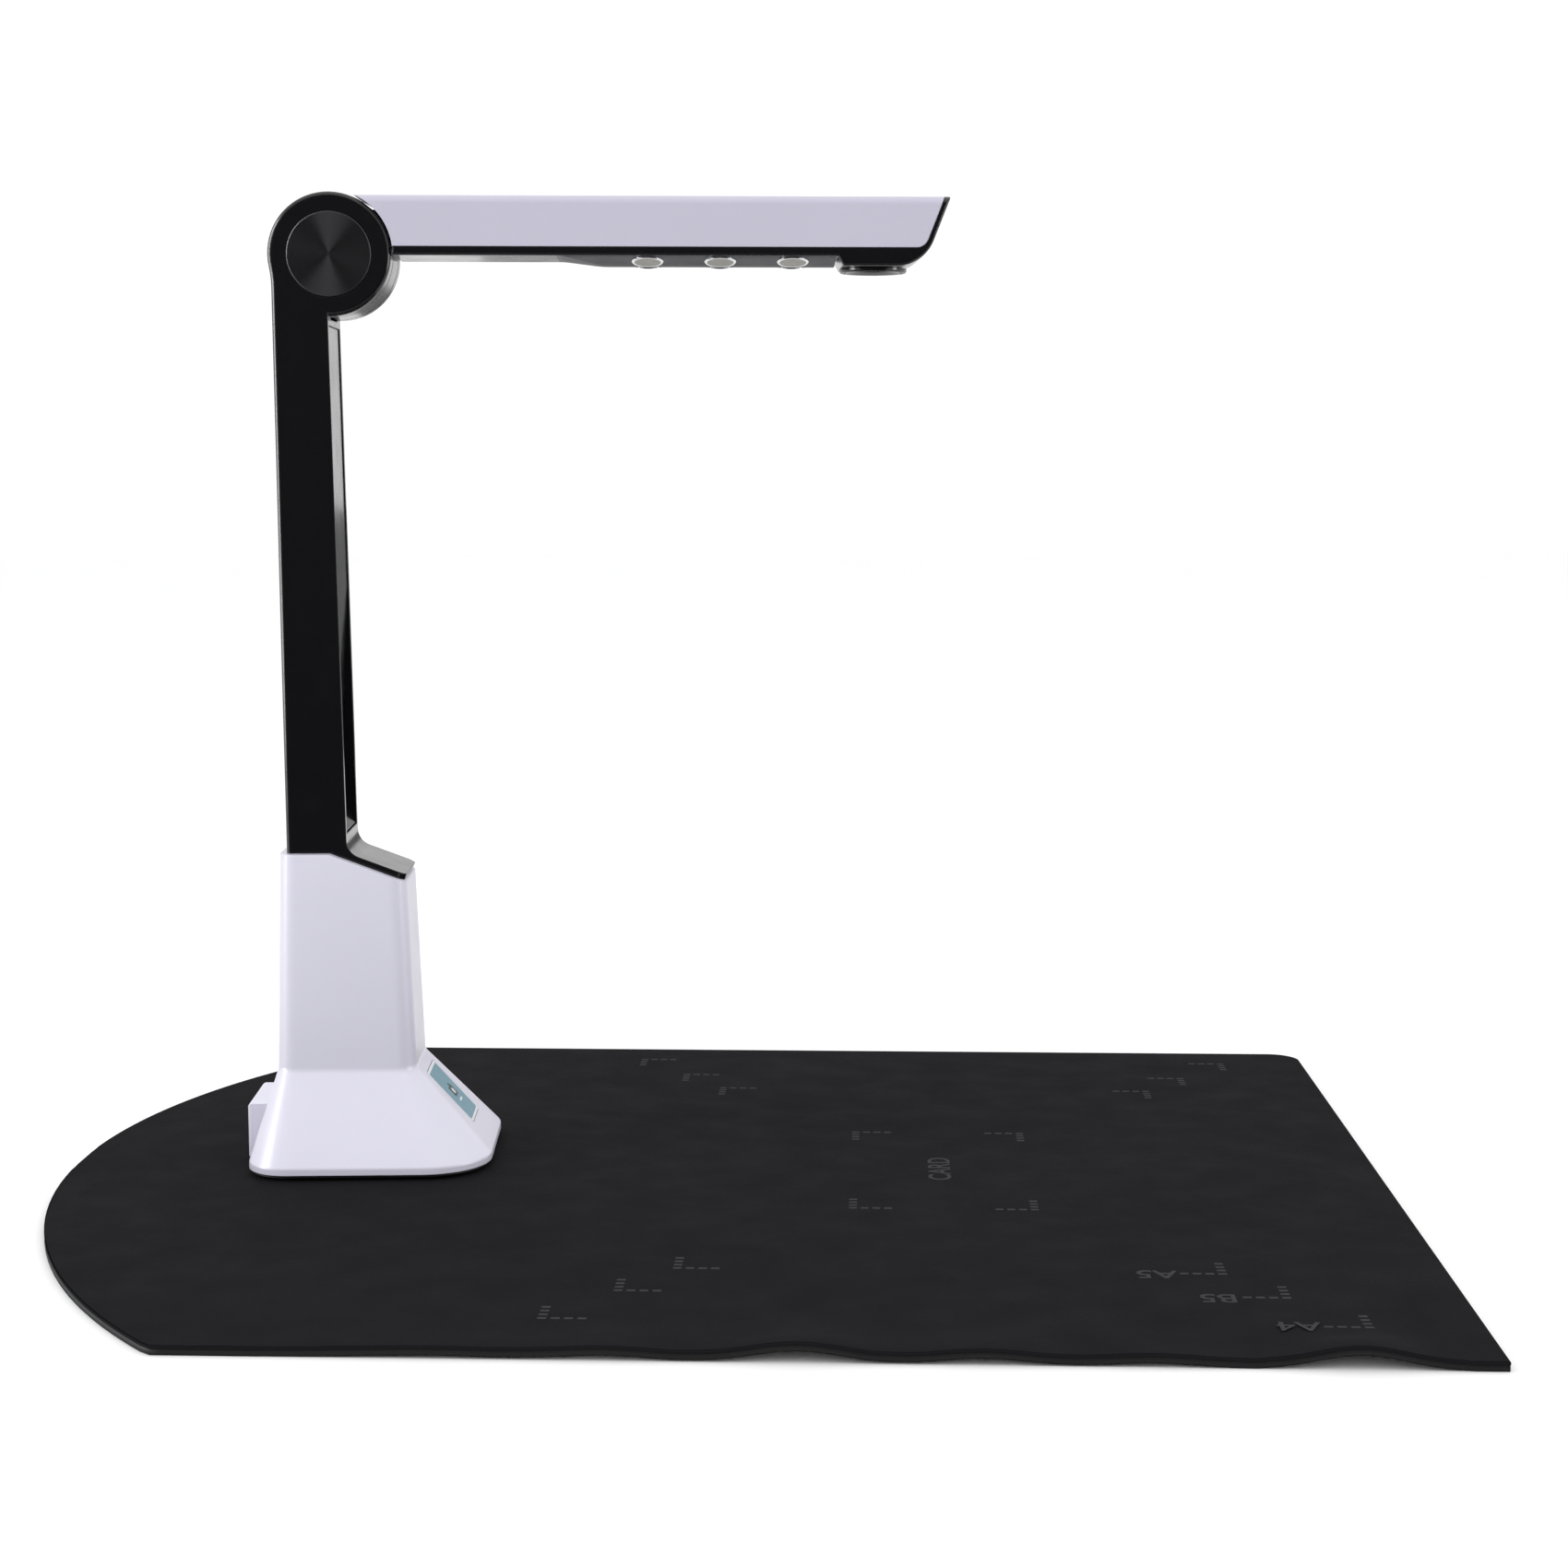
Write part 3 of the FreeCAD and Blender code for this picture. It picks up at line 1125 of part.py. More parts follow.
def lens_elements():
    radius = BARREL_BORE - ELEMENT_GAP
    bottom, top, curve = FRONT_ELEMENT
    front = cylinder_z(0, 0, radius, bottom, top).common(Part.makeSphere(curve, Vector(0, 0, bottom + curve)))
    middle = cylinder_z(0, 0, radius, *MIDDLE_ELEMENT)
    bottom, top, curve = BACK_ELEMENT
    back = cylinder_z(0, 0, radius, bottom, top).common(Part.makeSphere(curve, Vector(0, 0, top - curve)))
    return Part.makeCompound([moved(lens, x=LENS_X) for lens in (front, middle, back)])


def holder_screw_spots():
    return [(LENS_X - HOLDER_SCREW_OFFSET, -HOLDER_SCREW_OFFSET),
            (LENS_X + HOLDER_SCREW_OFFSET, HOLDER_SCREW_OFFSET)]


def lens_holder():
    block = prism_z(rectangle_corners((LENS_X - HOLDER_HALF, LENS_X + HOLDER_HALF, HOLDER_HALF, 1.0)),
                    *HOLDER_SPAN)
    bore = cylinder_z(LENS_X, 0, BARREL_RADIUS + 0.05, HOLDER_SPAN[0], HOLDER_SPAN[1] - 2.4)
    half = SENSOR_POCKET_HALF
    pocket = box(LENS_X - half, LENS_X + half, -half, half, HOLDER_SPAN[1] - 2.4, HOLDER_SPAN[1])
    threads = [cylinder_z(x, y, 0.85, HOLDER_SPAN[1] - 4, HOLDER_SPAN[1]) for x, y in holder_screw_spots()]
    return without(block, [bore, pocket] + threads)


def camera_board():
    rear, front, half, bottom, top = CAMERA_BOARD
    board = prism_z(rectangle_corners((rear, front, half, BOARD_CORNER)), bottom, top)
    holes = [cylinder_z(x, y, 0.95, bottom, top) for x, y in holder_screw_spots()]
    processor = box(LENS_X - 4, LENS_X + 4, -4, 4, top, top + 1.0)
    return fused([without(board, holes), processor])


def image_sensor():
    bottom = CAMERA_BOARD[3]
    return box(LENS_X - CHIP_HALF, LENS_X + CHIP_HALF, -CHIP_HALF, CHIP_HALF, bottom - 1.0, bottom)


def holder_screws():
    top = CAMERA_BOARD[4]
    pattern = screw(*HOLDER_SCREW, top - CAMERA_BOARD[3] + 3.4)
    return Part.makeCompound([moved(pattern, x, y, top) for x, y in holder_screw_spots()])


# ---- Writing ----------------------------------------------------------------------------

def nodes():
    near_cap, far_cap = both_sides(hinge_cap())[::-1]
    return {
        "positioning_mat": positioning_mat(),
        "base_shell": stand(base_shell()),
        "base_plate": stand(base_plate()),
        "rubber_feet": stand(rubber_feet()),
        "base_screws": stand(base_screws()),
        "ballast_weight": stand(ballast_weight()),
        "arm_bracket": stand(arm_bracket()),
        "bracket_screws": stand(bracket_screws()),
        "clamp_screws": stand(clamp_screws()),
        "hub_board": stand(hub_board()),
        "board_screws": stand(board_screws()),
        "usb_socket": stand(usb_socket()),
        "touch_label": stand(touch_label()),
        "touch_board": stand(touch_board()),
        "lower_arm_shell": hinged(lower_arm_shell()),
        "lower_arm_front_cover": hinged(lower_arm_front_cover()),
        "arm_spine": hinged(arm_spine()),
        "spine_screws": hinged(spine_screws()),
        "lower_arm_cable": hinged(lower_arm_cable()),
        "hinge_axle": hinged(hinge_axle()),
        "hinge_nut": hinged(hinge_nut()),
        "friction_washers": hinged(friction_washers()),
        "hinge_cap_near": hinged(near_cap),
        "hinge_cap_far": hinged(far_cap),
        "hinge_knuckle": hinged(hinge_knuckle()),
        "knuckle_screws": hinged(knuckle_screws()),
        "top_cover": hinged(top_cover()),
        "under_shell": hinged(under_shell()),
        "upper_arm_cable": hinged(upper_arm_cable()),
        "light_panel": hinged(light_panel()),
        "light_boards": hinged(light_boards()),
        "light_emitters": hinged(light_emitters()),
        "light_reflectors": hinged(light_reflectors()),
        "light_windows": hinged(light_windows()),
        "lens_ring": hinged(lens_ring()),
        "lens_window": hinged(lens_window()),
        "lens_barrel": hinged(lens_barrel()),
        "lens_elements": hinged(lens_elements()),
        "lens_holder": hinged(lens_holder()),
        "camera_board": hinged(camera_board()),
        "image_sensor": hinged(image_sensor()),
        "holder_screws": hinged(holder_screws()),
    }


os.makedirs("parts", exist_ok=True)
for name, shape in nodes().items():
    solids = len(shape.Solids)
    print(name, "solids", solids, "valid", shape.isValid(), "volume", round(shape.Volume, 1))
    shape.exportStep("parts/" + name + ".step")
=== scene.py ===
import math

import bpy
from mathutils import Matrix, Vector


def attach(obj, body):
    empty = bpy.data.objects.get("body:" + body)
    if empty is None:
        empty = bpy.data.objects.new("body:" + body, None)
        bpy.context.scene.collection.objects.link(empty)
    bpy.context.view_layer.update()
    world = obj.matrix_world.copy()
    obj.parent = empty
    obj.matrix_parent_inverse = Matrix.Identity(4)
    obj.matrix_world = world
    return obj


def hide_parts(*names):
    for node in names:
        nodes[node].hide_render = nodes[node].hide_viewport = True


# Looks of a folding document camera on its printed positioning mat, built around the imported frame.
# The scene is in metres, and the dimensions below are in millimetres. +X runs along the arm, +Z is
# up, and the origin is under the hinge.

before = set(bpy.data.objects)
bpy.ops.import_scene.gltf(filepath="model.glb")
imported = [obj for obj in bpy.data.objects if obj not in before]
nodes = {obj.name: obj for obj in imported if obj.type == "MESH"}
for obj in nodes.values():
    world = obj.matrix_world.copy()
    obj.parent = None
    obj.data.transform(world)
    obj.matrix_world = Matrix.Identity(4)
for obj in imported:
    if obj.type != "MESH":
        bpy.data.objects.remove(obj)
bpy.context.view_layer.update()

MM = 0.001


def mm(*values):
    """A vector in metres from values in millimetres."""
    return Vector([value * MM for value in values])


# ---- Dimensions, in millimetres ---------------------------------------------------------

# The mat is drawn about the centre of its printed marks, then turned and moved under the stand.
MAT_CENTRE = (183.2, -29.4)
MAT_TURN = -4.0
MAT_THICKNESS = 2.5
MAT_FRONT_X = 133.2
MAT_REAR_X = -266.3
MAT_CROWN_Y = 4.0
MAT_NEAR_Y = -172.3
MAT_FAR_Y = 165.0
MAT_NEAR_SHOULDER_X = -198.0
MAT_FAR_SHOULDER_X = -202.0
MAT_CORNER_RADIUS = 10.0

# The mat's surface grid: finer along X at the round end and at the round corner
MAT_CELL = 3.0
MAT_ROWS = 110
MAT_END_LENGTH = 60.0
MAT_END_STEPS = 26
MAT_CORNER_STEPS = 12

# Down the mat's edge: inset from the outline, depth below the top face. The fourth place is the
# bottom of the groove that parts the soft top layer from the rubber back.
MAT_EDGE_PROFILE = ((0.12, 0.04), (0.0, 0.25), (0.0, 0.85), (0.35, 0.98), (0.1, 1.12), (0.1, 2.2))
MAT_TOP_LAYER_STEPS = 4
MAT_FACE_INSET = 0.3        # from the outline to the edge of the flat faces

# Where the near edge lifts: place along the edge, half width of the crest, height
MAT_WAVES = (
    (-128.0, 26.0, 0.8),
    (-85.0, 16.0, 1.3),
    (-38.5, 16.0, 3.0),
    (7.0, 16.0, 1.7),
    (48.0, 15.0, 1.1),
    (98.0, 15.0, 3.6),
)
WAVE_REACH = 34.0           # how far a wave runs in from the near edge
WAVE_TAIL = 1.7             # in half widths, how far a wave runs along the edge

# Printed marks: paper name, half sizes of its corner rectangle
PAPER_MARKS = (
    ("A4", 105.0, 148.5),
    ("B5", 88.0, 125.0),
    ("A5", 74.0, 105.0),
    ("CARD", 27.5, 45.0),
)
DASH_COUNT = 4
DASH_LENGTH = 2.3           # along X
DASH_WIDTH = 1.4            # along Y
DASH_PITCH_X = 3.4
DASH_PITCH_Y = 3.0
PRINT_LIFT = 0.04
PRINT_THICKNESS = 0.03
LETTER_SIZE = 9.6           # gives capitals about 7 mm high
LETTER_WEIGHT = 0.12        # added round each stroke
LETTER_GAP = 0.55           # from the end of a mark to its letters' middle, in letter sizes

HINGE_Z = 279.2             # hinge axis above the table

# Touch plate on the front slope: the slope's foot and head as (x, z), then the plate on it
SLOPE_FOOT = (45.4, 6.3)
SLOPE_HEAD = (22.2, 32.0)
LABEL_LENGTH = 21.0
LABEL_WIDTH = 18.5
LABEL_RAISE = 2.8           # up the slope from its middle
LABEL_BORDER = 0.9          # white rim left round the film
FILM_CORNER = 0.8
FILM_FOOT = 0.01
FILM_THICKNESS = 0.08
SYMBOL_THICKNESS = 0.05

# Symbol on the touch plate: middle down the slope and across, half sizes, corner radius
SYMBOL_BODY = (0.0, 0.0, 1.9, 2.7, 0.5)
SYMBOL_FINDER = (-2.3, 0.9, 0.5, 0.8, 0.2)
SYMBOL_LENS = (0.1, 0.0, 1.1, 1.1, 1.09)
SYMBOL_BAR = (3.6, 0.0, 0.35, 2.2, 0.3)
OUTLINE_CORNER_STEPS = 6

# Camera, seen from the near side of the mat, in the mat's own frame
VIEW_POINT = (-18.85, -794.8, 213.3)
VIEW_PITCH = 83.21
VIEW_YAW = 2.10
LENS_LENGTH = 60.9
SENSOR_WIDTH = 36.0

ROUGHNESS_FLOOR = 0.02

# Fine detail in the materials, in cells per metre
CLOUD_SCALE = 35.0
GLOSS_SCALE = 120.0
GRAIN_SCALE = 2600.0
TOOL_LINE_SCALE = 900.0

# Sockets of the colour mix node, which share their names with sockets for other kinds of value
MIX_FACTOR = 0
MIX_DARK = 6
MIX_LIGHT = 7
MIX_RESULT = 2


# ---- Frames of reference ----------------------------------------------------------------

def mat_frame():
    """From the mat's own frame, with z = 0 on its top face, to the part's frame."""
    place = Matrix.Translation(mm(MAT_CENTRE[0], MAT_CENTRE[1], MAT_THICKNESS))
    return place @ Matrix.Rotation(math.radians(MAT_TURN), 4, "Z")


def smoothstep(value):
    value = min(max(value, 0.0), 1.0)
    return value * value * (3.0 - 2.0 * value)


# ---- Materials --------------------------------------------------------------------------

class Shader:
    """A material with one Principled shader and short ways to add procedural detail to it."""

    def __init__(self, name, color, roughness, **values):
        self.material = bpy.data.materials.new(name)
        self.material.use_nodes = True
        self.tree = self.material.node_tree
        self.bsdf = self.tree.nodes["Principled BSDF"]
        self.color = (*color, 1.0)
        self.bsdf.inputs["Base Color"].default_value = self.color
        self.bsdf.inputs["Roughness"].default_value = roughness
        self.roughness = roughness
        for socket, value in values.items():
            self.bsdf.inputs[socket.replace("_", " ")].default_value = value
        self.place = self.add("ShaderNodeTexCoord").outputs["Object"]
        self.normal = None

    def add(self, kind, **settings):
        node = self.tree.nodes.new(kind)
        for key, value in settings.items():
            setattr(node, key, value)
        return node

    def link(self, source, target):
        self.tree.links.new(source, target)

    def noise(self, scale, detail=3.0, stretch=(1.0, 1.0, 1.0)):
        """Noise over the object, scale in cells per metre."""
        mapping = self.add("ShaderNodeMapping")
        mapping.inputs["Scale"].default_value = stretch
        self.link(self.place, mapping.inputs["Vector"])
        noise = self.add("ShaderNodeTexNoise")
        noise.inputs["Scale"].default_value = scale
        noise.inputs["Detail"].default_value = detail
        self.link(mapping.outputs["Vector"], noise.inputs["Vector"])
        return noise.outputs["Fac"]

    def ranged(self, source, low, high, start=0.3, stop=0.7):
        """Stretch the part of a pattern between start and stop over low to high."""
        ramp = self.add("ShaderNodeMapRange")
        ramp.inputs["From Min"].default_value = start
        ramp.inputs["From Max"].default_value = stop
        ramp.inputs["To Min"].default_value = low
        ramp.inputs["To Max"].default_value = high
        self.link(source, ramp.inputs["Value"])
        return ramp.outputs["Result"]

    def mottle(self, source, amount):
        """Vary the base colour a little, darker and lighter."""
        dark = [value * (1.0 - amount) for value in self.color[:3]]
        light = [min(value * (1.0 + amount), 1.0) for value in self.color[:3]]
        mix = self.add("ShaderNodeMix", data_type="RGBA", blend_type="MIX")
        mix.inputs[MIX_DARK].default_value = (*dark, 1.0)
        mix.inputs[MIX_LIGHT].default_value = (*light, 1.0)
        self.link(source, mix.inputs[MIX_FACTOR])
        self.link(mix.outputs[MIX_RESULT], self.bsdf.inputs["Base Color"])
        return self

    def vary_roughness(self, source, amount):
        low = max(self.roughness - amount, ROUGHNESS_FLOOR)
        high = self.roughness + amount
        self.link(self.ranged(source, low, high), self.bsdf.inputs["Roughness"])
        return self

    def round_edges(self, radius):
        bevel = self.add("ShaderNodeBevel", samples=4)
        bevel.inputs["Radius"].default_value = radius * MM
        self.normal = bevel.outputs["Normal"]
        self.link(self.normal, self.bsdf.inputs["Normal"])
        return self

    def bump(self, source, height, strength=1.0):
        """Raise the surface by a height in millimetres where the source is one."""
        bump = self.add("ShaderNodeBump")
        bump.inputs["Distance"].default_value = height * MM
        bump.inputs["Strength"].default_value = strength
        self.link(source, bump.inputs["Height"])
        if self.normal is not None:
            self.link(self.normal, bump.inputs["Normal"])
        self.normal = bump.outputs["Normal"]
        self.link(self.normal, self.bsdf.inputs["Normal"])
        return self


def moulded(name, color, roughness, edge, grain, **values):
    """Moulded plastic: rounded edges, faint grain and a slightly uneven gloss."""
    shader = Shader(name, color, roughness, **values)
    shader.mottle(shader.noise(CLOUD_SCALE), 0.025)
    shader.vary_roughness(shader.noise(GLOSS_SCALE), 0.04)
    if edge > 0:
        shader.round_edges(edge)
    shader.bump(shader.noise(GRAIN_SCALE, detail=1.0), grain, strength=0.35)
    return shader.material


def machined(name, color, roughness, stretch, **values):
    """Metal with fine lines along one direction."""
    shader = Shader(name, color, roughness, Metallic=1.0, **values)
    lines = shader.noise(TOOL_LINE_SCALE, detail=2.0, stretch=stretch)
    shader.vary_roughness(lines, 0.08)
    shader.round_edges(0.2)
    shader.bump(lines, 0.01, strength=0.4)
    return shader.material


def spun_cap():
    """Black anodised aluminium, turned on a lathe, so its fine grooves run in circles."""
    shader = Shader("spun_black", (0.075, 0.075, 0.08), 0.36, Metallic=1.0, Anisotropic=0.9)
    tangent = shader.add("ShaderNodeTangent", direction_type="RADIAL", axis="Y")
    shader.link(tangent.outputs["Tangent"], shader.bsdf.inputs["Tangent"])
    shift = shader.add("ShaderNodeMapping")
    shift.inputs["Location"].default_value = (0.0, 0.0, -HINGE_Z * MM)
    shader.link(shader.place, shift.inputs["Vector"])
    rings = shader.add("ShaderNodeTexWave", wave_type="RINGS", rings_direction="Y")
    rings.inputs["Scale"].default_value = 700.0
    rings.inputs["Distortion"].default_value = 0.4
    shader.link(shift.outputs["Vector"], rings.inputs["Vector"])
    shader.mottle(rings.outputs["Fac"], 0.12)
    shader.round_edges(0.25)
    shader.bump(rings.outputs["Fac"], 0.004, strength=0.3)
    return shader.material


def mat_fabric():
    """Soft knitted face of the positioning mat."""
    shader = Shader("mat_fabric_face", (0.0095, 0.0095, 0.011), 0.9, Specular_IOR_Level=0.04)
    weave = shader.add("ShaderNodeTexVoronoi")
    weave.inputs["Scale"].default_value = 1500.0
    shader.link(shader.place, weave.inputs["Vector"])
    patches = shader.noise(14.0, detail=6.0)
    shader.mottle(shader.ranged(patches, 0.0, 1.0), 0.06)
    shader.vary_roughness(shader.noise(60.0), 0.07)
    shader.bump(shader.noise(260.0, detail=4.0), 0.05, strength=0.4)
    shader.bump(weave.outputs["Distance"], 0.12, strength=0.5)
    return shader.material


def mat_rubber():
    """Rough rubber back of the positioning mat."""
    shader = Shader("mat_rubber_back", (0.006, 0.006, 0.007), 0.6, Specular_IOR_Level=0.25)
    shader.mottle(shader.noise(90.0), 0.2)
    shader.bump(shader.noise(1400.0), 0.08, strength=0.5)
    return shader.material


def print_ink():
    """Dull grey print, worn unevenly by the knit under it."""
    shader = Shader("print_ink", (0.042, 0.042, 0.046), 0.85, Specular_IOR_Level=0.05)
    shader.mottle(shader.noise(900.0, detail=4.0), 0.3)
    shader.bump(shader.noise(1500.0), 0.05, strength=0.4)
    return shader.material


def clear_glass():
    """Acrylic of the lens elements."""
    shader = Shader("lens_clear", (0.75, 0.8, 0.95), 0.02, Transmission_Weight=1.0, IOR=1.49)
    shader.vary_roughness(shader.noise(200.0), 0.01)
    return shader.material


def coated_glass():
    """Front glass of the lens: dark behind, with a violet coating."""
    shader = Shader("coated_glass", (0.02, 0.022, 0.035), 0.03,
                    Coat_Weight=1.0, Coat_Roughness=0.02, Coat_Tint=(0.6, 0.55, 1.0, 1.0))
    shader.mottle(shader.noise(60.0), 0.1)
    return shader.material


def lamp_phosphor():
    """Yellow face of a white light-emitting diode, glowing faintly."""
    shader = Shader("lamp_phosphor", (0.80, 0.74, 0.50), 0.5,
                    Emission_Color=(1.0, 0.92, 0.66, 1.0), Emission_Strength=0.12)
    shader.mottle(shader.noise(900.0), 0.06)
    shader.bump(shader.noise(2200.0), 0.03, strength=0.4)
    return shader.material


def circuit_green():
    """Solder mask with a pattern of tracks under it."""
    mask = (0.02, 0.14, 0.06)
    shader = Shader("circuit_green", mask, 0.4)
    tracks = shader.add("ShaderNodeTexBrick")
    tracks.inputs["Scale"].default_value = 260.0
    tracks.inputs["Color1"].default_value = (*mask, 1.0)
    tracks.inputs["Color2"].default_value = (0.03, 0.18, 0.08, 1.0)
    tracks.inputs["Mortar"].default_value = (0.05, 0.24, 0.1, 1.0)
    shader.link(shader.place, tracks.inputs["Vector"])
    shader.link(tracks.outputs["Color"], shader.bsdf.inputs["Base Color"])
    shader.bump(tracks.outputs["Fac"], 0.03, strength=0.4)
    return shader.material


def studio_floor():
    """White paper sweep."""
    shader = Shader("studio_floor", (0.95, 0.95, 0.95), 0.7, Specular_IOR_Level=0.1)
    shader.mottle(shader.noise(3.0), 0.01)
    return shader.material


# Moulded: colour, roughness, then edge radius and height of the grain in millimetres.
# Machined: colour, roughness, and how the tool lines are stretched along each axis.
white_skin = moulded("white_skin", (0.71, 0.695, 0.805), 0.36, 0.35, 0.02,
                     Coat_Weight=0.15, Coat_Roughness=0.15)
# The top cover is the same white plastic as the base, with its colour darkened: painted shade for
# the dimmer light on the upper arm's face.
shaded_cover_skin = moulded("shaded_cover_skin", (0.50, 0.482, 0.585), 0.4, 0.35, 0.02,
                     Coat_Weight=0.1, Coat_Roughness=0.15)
black_gloss = moulded("black_gloss", (0.0045, 0.0045, 0.0055), 0.16, 0.5, 0.008)
grey_panel = moulded("grey_panel", (0.024, 0.024, 0.032), 0.45, 0.3, 0.02,
                     Specular_IOR_Level=0.25)
black_matte = moulded("black_matte", (0.012, 0.012, 0.013), 0.5, 0.2, 0.03)
grey_card = moulded("grey_card", (0.15, 0.15, 0.15), 0.8, 0.0, 0.0)
chip_black = moulded("chip_black", (0.015, 0.015, 0.017), 0.45, 0.0, 0.02)
rubber = moulded("foot_rubber", (0.014, 0.014, 0.015), 0.75, 0.3, 0.08)
jacket = moulded("cable_jacket", (0.01, 0.01, 0.011), 0.55, 0.0, 0.02)
screw_steel = machined("screw_steel", (0.55, 0.55, 0.57), 0.3, (1.0, 1.0, 0.1))
frame_steel = machined("frame_steel", (0.46, 0.46, 0.48), 0.38, (1.0, 1.0, 0.05))
cast_iron = machined("ballast_iron", (0.12, 0.12, 0.125), 0.6, (1.0, 1.0, 1.0))
plated = machined("socket_plating", (0.68, 0.68, 0.7), 0.22, (0.1, 1.0, 1.0))
lamp_chrome = machined("lamp_chrome", (0.66, 0.66, 0.68), 0.12, (1.0, 1.0, 1.0))
label_white = moulded("label_white", (0.8, 0.8, 0.84), 0.3, 0.1, 0.005)
label_teal = moulded("label_teal", (0.13, 0.29, 0.37), 0.3, 0.0, 0.005)
label_dark = moulded("label_dark", (0.015, 0.03, 0.04), 0.35, 0.0, 0.005)
cap_metal = spun_cap()
fabric = mat_fabric()
mat_back = mat_rubber()
ink = print_ink()
window_clear = moulded("lamp_window", (0.24, 0.23, 0.19), 0.3, 0.1, 0.01, Transmission_Weight=0.35)
lens_clear = clear_glass()
lens_front = coated_glass()
phosphor = lamp_phosphor()
circuit = circuit_green()

NODE_MATERIALS = {
    "positioning_mat": fabric,
    "base_shell": white_skin,
    "base_plate": black_matte,
    "rubber_feet": rubber,
    "base_screws": screw_steel,
    "ballast_weight": cast_iron,
    "arm_bracket": frame_steel,
    "bracket_screws": screw_steel,
    "clamp_screws": screw_steel,
    "hub_board": circuit,
    "board_screws": screw_steel,
    "usb_socket": plated,
    "touch_label": label_white,
    "touch_board": circuit,
    "lower_arm_shell": black_gloss,
    "lower_arm_front_cover": black_gloss,
    "arm_spine": frame_steel,
    "spine_screws": screw_steel,
    "lower_arm_cable": jacket,
    "hinge_axle": frame_steel,
    "hinge_nut": screw_steel,
    "friction_washers": frame_steel,
    "hinge_cap_near": cap_metal,
    "hinge_cap_far": cap_metal,
    "hinge_knuckle": black_gloss,
    "knuckle_screws": screw_steel,
    # The top cover takes the darkened copy of the white plastic, a painted shade.
    "top_cover": shaded_cover_skin,
    "under_shell": black_gloss,
    "upper_arm_cable": jacket,
    "light_panel": grey_panel,
    "light_boards": circuit,
    "light_emitters": phosphor,
    "light_reflectors": lamp_chrome,
    "light_windows": window_clear,
    "lens_ring": black_gloss,
    "lens_window": lens_front,
    "lens_barrel": black_matte,
    "lens_elements": lens_clear,
    "lens_holder": black_matte,
    "camera_board": circuit,
    "image_sensor": chip_black,
    "holder_screws": screw_steel,
}

for node_name, material in NODE_MATERIALS.items():
    for slot in nodes[node_name].material_slots:
        slot.material = material


# ---- Building pieces --------------------------------------------------------------------

def new_piece(name, vertices, faces, material, body, smooth=True):
    """A mesh piece that moves with one body of the frame."""
    mesh = bpy.data.meshes.new(name)
    mesh.from_pydata([tuple(v) for v in vertices], [], faces)
    mesh.validate()
    mesh.update()
    for polygon in mesh.polygons:
        polygon.use_smooth = smooth
    mesh.materials.append(material)
    piece = bpy.data.objects.new(name, mesh)
    bpy.context.scene.collection.objects.link(piece)
    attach(piece, body)
    return piece


def level_ground(_x, _y):
    return 0.0


def flat_shapes(name, outlines, levels, to_part, material, ground=level_ground):
    """Thin closed shapes between two levels above the ground, the high one first."""
    vertices = []
    faces = []
    for outline in outlines:
        first = len(vertices)
        size = len(outline)
        for level in levels:
            for x, y in outline:
                vertices.append(to_part @ mm(x, y, ground(x, y) + level))
        faces.append(tuple(range(first, first + size)))
        faces.append(tuple(range(first + 2 * size - 1, first + size - 1, -1)))
        for k in range(size):
            after = (k + 1) % size
            faces.append((first + k, first + size + k, first + size + after, first + after))
    return new_piece(name, vertices, faces, material, "stand", smooth=False)


# ---- Mat --------------------------------------------------------------------------------

def round_end_half_width(x, shoulder_x, shoulder_y):
    """How far the round end reaches from the crown line at x, on the side of one shoulder."""
    run = shoulder_x - MAT_REAR_X
    rise = abs(shoulder_y - MAT_CROWN_Y)
    radius = (run ** 2 + rise ** 2) / (2 * run)
    along = min(x - MAT_REAR_X, run)
    return math.sqrt(max(radius ** 2 - (radius - along) ** 2, 0.0))


def mat_near_edge(x):
    return MAT_CROWN_Y - round_end_half_width(x, MAT_NEAR_SHOULDER_X, MAT_NEAR_Y)


def mat_far_edge(x):
    y = MAT_CROWN_Y + round_end_half_width(x, MAT_FAR_SHOULDER_X, MAT_FAR_Y)
    into_corner = x - (MAT_FRONT_X - MAT_CORNER_RADIUS)
    if into_corner > 0:
        y -= MAT_CORNER_RADIUS - math.sqrt(max(MAT_CORNER_RADIUS ** 2 - into_corner ** 2, 0.0))
    return y


def mat_lift(x, y):
    """Height of the mat's top above flat, from the waves along its near edge."""
    inward = max(y - MAT_NEAR_Y, 0.0)
    fade = 1.0 - smoothstep(inward / WAVE_REACH)
    height = 0.0
    for place, half_width, crest in MAT_WAVES:
        reach = (x - place) / half_width
        if abs(reach) < WAVE_TAIL:
            height += crest * math.exp(-reach * reach)
    return height * fade * fade


def mat_columns():
    """Places along X, close together where the outline turns fastest."""
    middle_start = MAT_REAR_X + MAT_END_LENGTH
    corner_start = MAT_FRONT_X - MAT_CORNER_RADIUS
    count = round((corner_start - middle_start) / MAT_CELL)
    start = [MAT_REAR_X + MAT_END_LENGTH * (1 - math.cos(0.5 * math.pi * k / MAT_END_STEPS))
             for k in range(1, MAT_END_STEPS)]
    middle = [middle_start + (corner_start - middle_start) * k / count for k in range(count + 1)]
    corner = [corner_start + MAT_CORNER_RADIUS * math.sin(0.5 * math.pi * k / MAT_CORNER_STEPS)
              for k in range(1, MAT_CORNER_STEPS + 1)]
    return start + middle + corner


def mat_area():
    """Flat area of one face of the mat, in square metres."""
    columns = mat_columns()
    widths = [mat_far_edge(x) - mat_near_edge(x) for x in columns]
    area = 0.0
    for k in range(len(columns) - 1):
        area += 0.5 * (widths[k] + widths[k + 1]) * (columns[k + 1] - columns[k])
    return area * MM * MM


